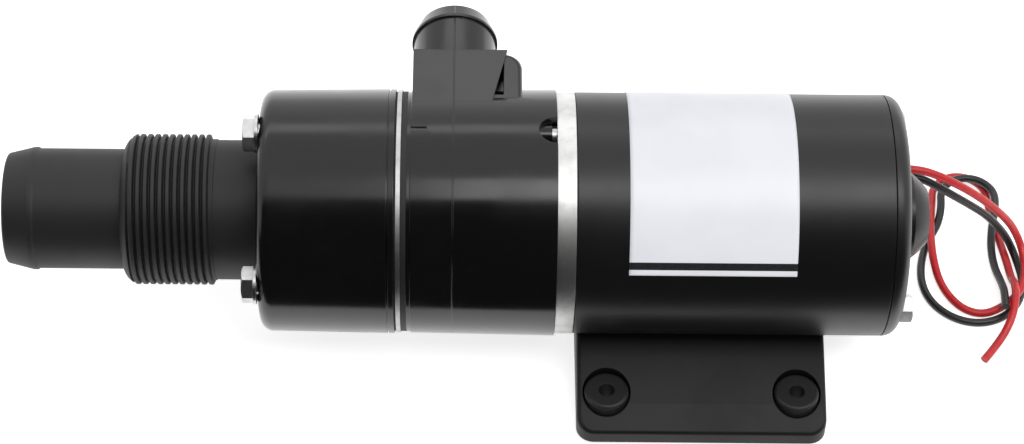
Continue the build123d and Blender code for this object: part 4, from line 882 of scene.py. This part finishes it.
@dataclass
class Leads:
    """The two loose leads, from the grommet in the end bell to their cut ends by the coil.

    The measures are in millimetres. Where one lead lies over another, its middle is one diameter and a
    small gap over the middle of a lead that lies on the floor.
    """

    finishes: Finishes
    exit_side: float = 19.05
    red_height: float = 46.2
    black_height: float = 42.8
    radius: float = 1.325
    crossing_gap: float = 0.5
    ring_steps: int = 6
    run_steps: int = 10

    def red_route(self) -> list[tuple[float, float, float]]:
        """Red lead's route.

        Returns:
            Its control points, in millimetres.
        """
        floor = self.radius
        over = 3 * self.radius + self.crossing_gap
        side = self.exit_side
        up = self.red_height
        return [
            (62.7, side, up), (69.5, side, up),
            (76.4, 18.8, 43.6), (83.0, 19.0, 39.2), (89.5, 19.8, 33.6),
            (95.8, 20.8, 27.0), (101.4, 21.8, 20.0), (105.6, 22.6, 13.6), (108.9, 19.8, 7.6),
            (109.9, 13.4, 5.0), (108.8, 6.4, over), (105.9, 0.8, over),
            (100.9, -3.2, 3.4), (94.8, -4.8, floor),
            (88.8, -3.0, floor), (84.4, 2.2, floor), (81.6, 9.2, floor),
            (80.2, 16.8, 3.0), (79.9, 24.0, over), (80.4, 31.0, over), (81.4, 37.0, 2.6),
            (82.4, 42.6, floor), (83.2, 49.6, floor), (88.4, 54.8, floor), (95.8, 54.8, floor),
            (101.0, 49.6, floor), (101.4, 41.8, floor),
            (102.2, 33.4, floor), (103.6, 25.6, floor), (104.8, 17.8, floor), (105.5, 10.4, floor),
            (105.3, 3.8, 7.0), (104.6, -3.4, 7.9), (102.7, -10.2, 5.6),
            (98.7, -16.6, 2.2), (93.0, -23.4, floor),
        ]

    def black_route(self) -> list[tuple[float, float, float]]:
        """Black lead's route.

        Returns:
            Its control points, in millimetres.
        """
        floor = self.radius
        over = 3 * self.radius + self.crossing_gap
        side = self.exit_side
        up = self.black_height
        return [
            (62.7, side, up), (69.5, side, up),
            (76.4, 18.2, 39.2), (83.4, 18.8, 33.2), (90.2, 20.4, 26.4),
            (95.6, 22.4, 20.0), (100.2, 23.8, 13.4), (104.2, 24.0, 7.4),
            (106.8, 21.4, 3.4), (108.4, 16.8, floor),
            (109.2, 10.6, floor), (108.4, 4.2, floor), (105.4, -1.8, floor), (100.6, -6.2, floor),
            (94.4, -8.4, floor), (88.0, -7.8, floor), (82.2, -4.6, floor),
            (77.8, 0.6, floor), (75.7, 7.4, floor),
            (75.9, 14.6, floor), (77.6, 21.8, floor), (80.6, 28.4, floor),
            (83.6, 33.8, floor), (85.0, 39.2, 3.6),
            (85.2, 46.0, over), (90.5, 51.4, over), (98.1, 51.4, over),
            (103.4, 46.0, over), (103.0, 38.4, over),
            (100.9, 30.8, over), (100.0, 23.2, 2.0), (100.4, 15.4, floor),
            (101.4, 7.6, 3.6), (101.6, 0.4, 6.6), (100.9, -6.2, 7.3),
        ]

    def build_lead(self, name: str, node: str, route: list[tuple[float, float, float]],
                   finish: FinishName) -> bpy.types.Object:
        """One lead as a round NURBS curve.

        Args:
            name: The piece's name.
            node: The frame's node that it stands for.
            route: Its control points, in millimetres.
            finish: Its finish.

        Returns:
            The lead.
        """
        points = np.array(route) * MM
        curve = bpy.data.curves.new(name, "CURVE")
        curve.dimensions = "3D"
        curve.bevel_depth = self.radius * MM
        curve.bevel_resolution = self.ring_steps
        curve.use_fill_caps = True
        spline = curve.splines.new("NURBS")
        spline.points.add(len(points) - 1)
        weights = np.ones((len(points), 1))
        spline.points.foreach_set("co", np.hstack([points, weights]).ravel())
        spline.order_u = 3
        spline.use_endpoint_u = True
        spline.resolution_u = self.run_steps
        lead = bpy.data.objects.new(name, curve)
        bpy.context.scene.collection.objects.link(lead)
        self.finishes.dress(lead, finish)
        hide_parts(node)
        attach(lead, "pump")
        self.length(points)
        return lead

    @staticmethod
    def length(points: np.ndarray) -> float:
        """Length of the smooth curve whose control points these are.

        Each stretch of the curve is the quadratic (1-t)^2 a + 2t(1-t) c + t^2 b between the middles a
        and b of two neighbouring runs that meet at the control point c. The outermost stretches end at the
        ends.

        Args:
            points: Control points, in metres.

        Returns:
            The length, in metres.
        """
        middles = (points[:-1] + points[1:]) / 2
        starts = np.vstack([points[:1], middles[1:-1]])
        ends = np.vstack([middles[1:-1], points[-1:]])
        t = np.linspace(0, 1, 33)[:, None, None]
        line = (1 - t) ** 2 * starts + 2 * t * (1 - t) * points[1:-1] + t ** 2 * ends
        return float(np.linalg.norm(np.diff(line, axis=0), axis=2).sum())

    def build(self) -> list[bpy.types.Object]:
        """Make both leads.

        Returns:
            The two leads.
        """
        return [
            self.build_lead("red_wire", "red_lead", self.red_route(), FinishName.RED),
            self.build_lead("black_wire", "black_lead", self.black_route(), FinishName.BLACK),
        ]


# Wet end, base and inner pieces


@dataclass
class WetEnd:
    """Inlet housing, plates, pump body, head bolts and all that turns inside them."""

    finishes: Finishes
    nodes: dict[str, bpy.types.Object]

    def build(self) -> list[bpy.types.Object]:
        """Dress the wet end.

        Returns:
            No pieces, since none are made here.
        """
        self.finishes.dress_all(self.nodes, {
            FinishName.INLET: ["inlet_housing"],
            FinishName.BODY: ["pump_body"],
            FinishName.GASKET: ["head_seal", "body_gasket", "shaft_seal", "slinger"],
            FinishName.PLATE: ["wear_plate", "chopper_plate"],
            FinishName.ZINC: ["head_bolts", "head_washers"],
            FinishName.STEEL: ["shaft", "impeller_key", "cutter_blade", "cutter_washer", "cutter_nut",
                               "garter_spring"],
            FinishName.BRASS: ["impeller_insert"],
            FinishName.IMPELLER: ["impeller"],
        })
        return []


@dataclass
class Mounting:
    """Moulded base, rubber bushes and base screws."""

    finishes: Finishes
    nodes: dict[str, bpy.types.Object]

    def build(self) -> list[bpy.types.Object]:
        """Dress the base.

        Returns:
            No pieces, since none are made here.
        """
        self.finishes.dress_all(self.nodes, {
            FinishName.BASE: ["base"],
            FinishName.BUSH: ["foot_grommets"],
            FinishName.ZINC: ["base_screws"],
        })
        return []


@dataclass
class MotorInside:
    """Armature, bearings, magnets and brush gear."""

    finishes: Finishes
    nodes: dict[str, bpy.types.Object]

    def build(self) -> list[bpy.types.Object]:
        """Dress the inside of the motor.

        Returns:
            No pieces, since none are made here.
        """
        parts = ("outer", "inner", "balls")
        bearings = [f"{end}_bearing_{part}" for end in ("front", "rear") for part in parts]
        self.finishes.dress_all(self.nodes, {
            FinishName.STACK: ["armature_core"],
            FinishName.COPPER: ["armature_windings", "commutator"],
            FinishName.BOARD: ["commutator_hub", "brush_plate", "thermal_cutout"],
            FinishName.STEEL: [*bearings, "wave_washer", "brush_spring_a", "brush_spring_b"],
            FinishName.NYLON: ["front_bearing_cage", "rear_bearing_cage"],
            FinishName.MAGNET: ["field_magnets"],
            FinishName.BRASS: ["brush_boxes"],
            FinishName.CARBON: ["brush_a", "brush_b"],
            FinishName.BLACK: ["inner_leads"],
        })
        return []


# Studio


@dataclass(frozen=True)
class SoftBox:
    """Rectangular light that faces the pump's axis.

    Its elevation is in degrees up from -Y, over the top. Its distance from the axis, its side step
    towards the motor, its length along x and its width are in metres, and its power is in watts.
    """

    name: str
    elevation: float
    distance: float
    side: float
    length: float
    width: float
    power: float


@dataclass
class Studio:
    """White floor and surroundings, a dark card for reflections, two soft lights and the camera."""

    axis_height: float
    distance: float = 0.922
    elevation: float = math.radians(50)
    aim_x: float = -0.0751
    aim_drop: float = 0.00325
    roll: float = math.radians(0.5)
    focal_pixels: float = 2913.0
    frame_width: float = 1024.0
    centre_column: float = 465.0
    sensor: float = 36.0
    nearest: float = 0.01
    farthest: float = 100.0
    floor_half: float = 30.0
    floor_tint: float = 0.9
    floor_glow: float = 0.7
    world_light: float = 0.6
    card_half: float = 1.4
    card_tint: float = 0.004

    def build(self) -> None:
        """Make the world, the floor, the card, the lights and the camera."""
        self.build_world()
        self.build_floor()
        self.build_card()
        self.build_lights()
        self.build_camera()
        bpy.context.scene.view_settings.view_transform = "Standard"

    def seen_share(self, bench: Bench) -> bpy.types.NodeSocket:
        """Share of a ray that sees its surroundings and isn't only lit by them.

        Args:
            bench: Bench on the tree.

        Returns:
            One for camera, glossy and transmission rays, and zero for the rest.
        """
        path = bench.add("LightPath").outputs
        share = bench.maths("MAXIMUM", path["Is Camera Ray"], path["Is Glossy Ray"])
        return bench.maths("MAXIMUM", share, path["Is Transmission Ray"])

    def build_world(self) -> None:
        """White where it is seen or mirrored, a soft grey where it only lights."""
        world = bpy.data.worlds.new("surroundings")
        bpy.context.scene.world = world
        world.use_nodes = True
        bench = Bench(world.node_tree)
        background = world.node_tree.nodes["Background"]
        set_inputs(background, Color=(1.0, 1.0, 1.0, 1.0))
        strength = bench.between(self.seen_share(bench), 0.0, 1.0, self.world_light, 1.0)
        bench.feed(background.inputs["Strength"], strength)

    def build_floor(self) -> None:
        """Large pale floor that shows white and keeps the object's soft shadow."""
        half = self.floor_half
        mesh = bpy.data.meshes.new("floor")
        corners = [(-half, -half, 0.0), (half, -half, 0.0), (half, half, 0.0), (-half, half, 0.0)]
        mesh.from_pydata(corners, [], [(0, 1, 2, 3)])
        floor = bpy.data.objects.new("floor", mesh)
        bpy.context.scene.collection.objects.link(floor)
        material, bench, shader = new_material("floor_white")
        self.make_matte(shader, self.floor_tint)
        set_inputs(shader, Emission_Color=(1.0, 1.0, 1.0, 1.0))
        glow = bench.maths("MULTIPLY", self.seen_share(bench), self.floor_glow)
        bench.feed(shader.inputs["Emission Strength"], glow)
        mesh.materials.append(material)

    def make_matte(self, shader: bpy.types.Node, tint: float) -> None:
        """Give a shader a dull grey.

        Args:
            shader: The shader's node.
            tint: The grey, from 0 for black to 1 for white.
        """
        set_inputs(shader, Base_Color=(tint, tint, tint, 1.0), Roughness=1.0, Specular_IOR_Level=0.0)

    def build_card(self) -> None:
        """Dark card on the camera's side, which only reflections see.

        Its profile of y and z runs along the floor and up past the camera, and is carried along x.
        """
        profile = np.array([(-0.07, 0.0005), (-0.34, 0.0005), (-0.56, 0.10), (-0.66, 0.40),
                            (-0.58, 0.74), (-0.45, 0.86)])
        rows = 3
        reach = np.linspace(-self.card_half, self.card_half, rows)
        x, y = np.meshgrid(reach, profile[:, 0], indexing="ij")
        z = np.broadcast_to(profile[:, 1], y.shape)
        points = np.stack([x, y, z], axis=-1).reshape(-1, 3)
        card = mesh_piece("dark_card", points, grid_faces(rows, len(profile)))
        material, _, shader = new_material("dark_cloth")
        self.make_matte(shader, self.card_tint)
        card.data.materials.append(material)
        card.visible_camera = False
        card.visible_diffuse = False
        card.visible_shadow = False
        card.visible_transmission = False

    def build_lights(self) -> None:
        """Soft box above the camera, over the motor's half, and a weak one behind."""
        self.add_light(SoftBox("soft_box", elevation=68.0, distance=0.95, side=0.55, length=1.15,
                               width=0.40, power=5.4))
        self.add_light(SoftBox("rear_fill", elevation=133.0, distance=1.3, side=0.0, length=2.0,
                               width=0.22, power=1.9))

    def add_light(self, box: SoftBox) -> None:
        """Put up one soft box.

        Args:
            box: Where it stands, its size and its power.
        """
        lamp = bpy.data.lights.new(box.name, "AREA")
        lamp.shape = "RECTANGLE"
        lamp.size = box.length
        lamp.size_y = box.width
        lamp.energy = box.power
        back, up = self.sight(math.radians(box.elevation))
        light = bpy.data.objects.new(box.name, lamp)
        place = Vector((self.aim_x + box.side, 0.0, self.axis_height)) + back * box.distance
        light.matrix_world = self.facing(place, back, up)
        bpy.context.scene.collection.objects.link(light)

    @staticmethod
    def sight(elevation: float) -> tuple[Vector, Vector]:
        """Directions of a view that looks at the pump across its axis.

        Args:
            elevation: Radians up from -Y, over the top.

        Returns:
            The unit vector from the pump back to the viewer, and the one up in the view.
        """
        back = Vector((0.0, -math.cos(elevation), math.sin(elevation)))
        up = Vector((0.0, math.sin(elevation), math.cos(elevation)))
        return back, up

    @staticmethod
    def facing(place: Vector, back: Vector, up: Vector, roll: float = 0.0) -> Matrix:
        """Matrix that puts something at a place with its -Z along the view.

        Args:
            place: Where it stands.
            back: Unit vector from what it faces to it.
            up: Unit vector up in its view.
            roll: Turn about its own view, in radians.

        Returns:
            The matrix.
        """
        right = up.cross(back)
        turn = Matrix((right, up, back)).transposed() @ Matrix.Rotation(roll, 3, "Z")
        return Matrix.Translation(place) @ turn.to_4x4()

    def build_camera(self) -> None:
        """Camera at the photograph's angle, distance and lens."""
        lens = bpy.data.cameras.new("camera")
        lens.sensor_width = self.sensor
        lens.lens = self.focal_pixels / self.frame_width * self.sensor
        lens.shift_x = (self.frame_width / 2 - self.centre_column) / self.frame_width
        lens.clip_start = self.nearest
        lens.clip_end = self.farthest
        back, up = self.sight(self.elevation)
        aim = Vector((self.aim_x, 0.0, self.axis_height)) - up * self.aim_drop
        camera = bpy.data.objects.new("camera", lens)
        camera.matrix_world = self.facing(aim + back * self.distance, back, up, self.roll)
        bpy.context.scene.collection.objects.link(camera)
        bpy.context.scene.camera = camera


# Pump


@dataclass
class Pump:
    """The whole pump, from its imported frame."""

    frame: dict[str, object]

    def mount(self, name: str) -> Vector:
        """Place of one of the record's mounts.

        Args:
            name: The mount's name.

        Returns:
            Its position, in metres.
        """
        for entry in self.frame["record"]["mounts"]:
            if entry["name"] == name:
                return Vector(entry["pos_m"])
        raise KeyError(name)

    def build(self) -> None:
        """Make the studio, the finishes and every sub-assembly."""
        nodes = self.frame["nodes"]
        axis_height = self.mount("inlet_spigot").z
        EFFECTS.build()
        Studio(axis_height).build()
        finishes = Finishes(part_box("head_washers")[1].x, self.mount("outlet_spigot").x)
        finishes.build()
        parts = [
            Leads(finishes),
            WetEnd(finishes, nodes),
            Motor(finishes, nodes, axis_height),
            MotorInside(finishes, nodes),
            Mounting(finishes, nodes),
        ]
        for part in parts:
            for piece in part.build():
                LOG.info("%s made %s", type(part).__name__, piece.name)


def main() -> None:
    """Build the scene."""
    logging.basicConfig(level=logging.INFO)
    for old in list(bpy.data.objects):
        bpy.data.objects.remove(old, do_unlink=True)
    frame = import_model()
    Pump(frame).build()
    bpy.context.view_layer.update()


if __name__ == "__main__":
    main()
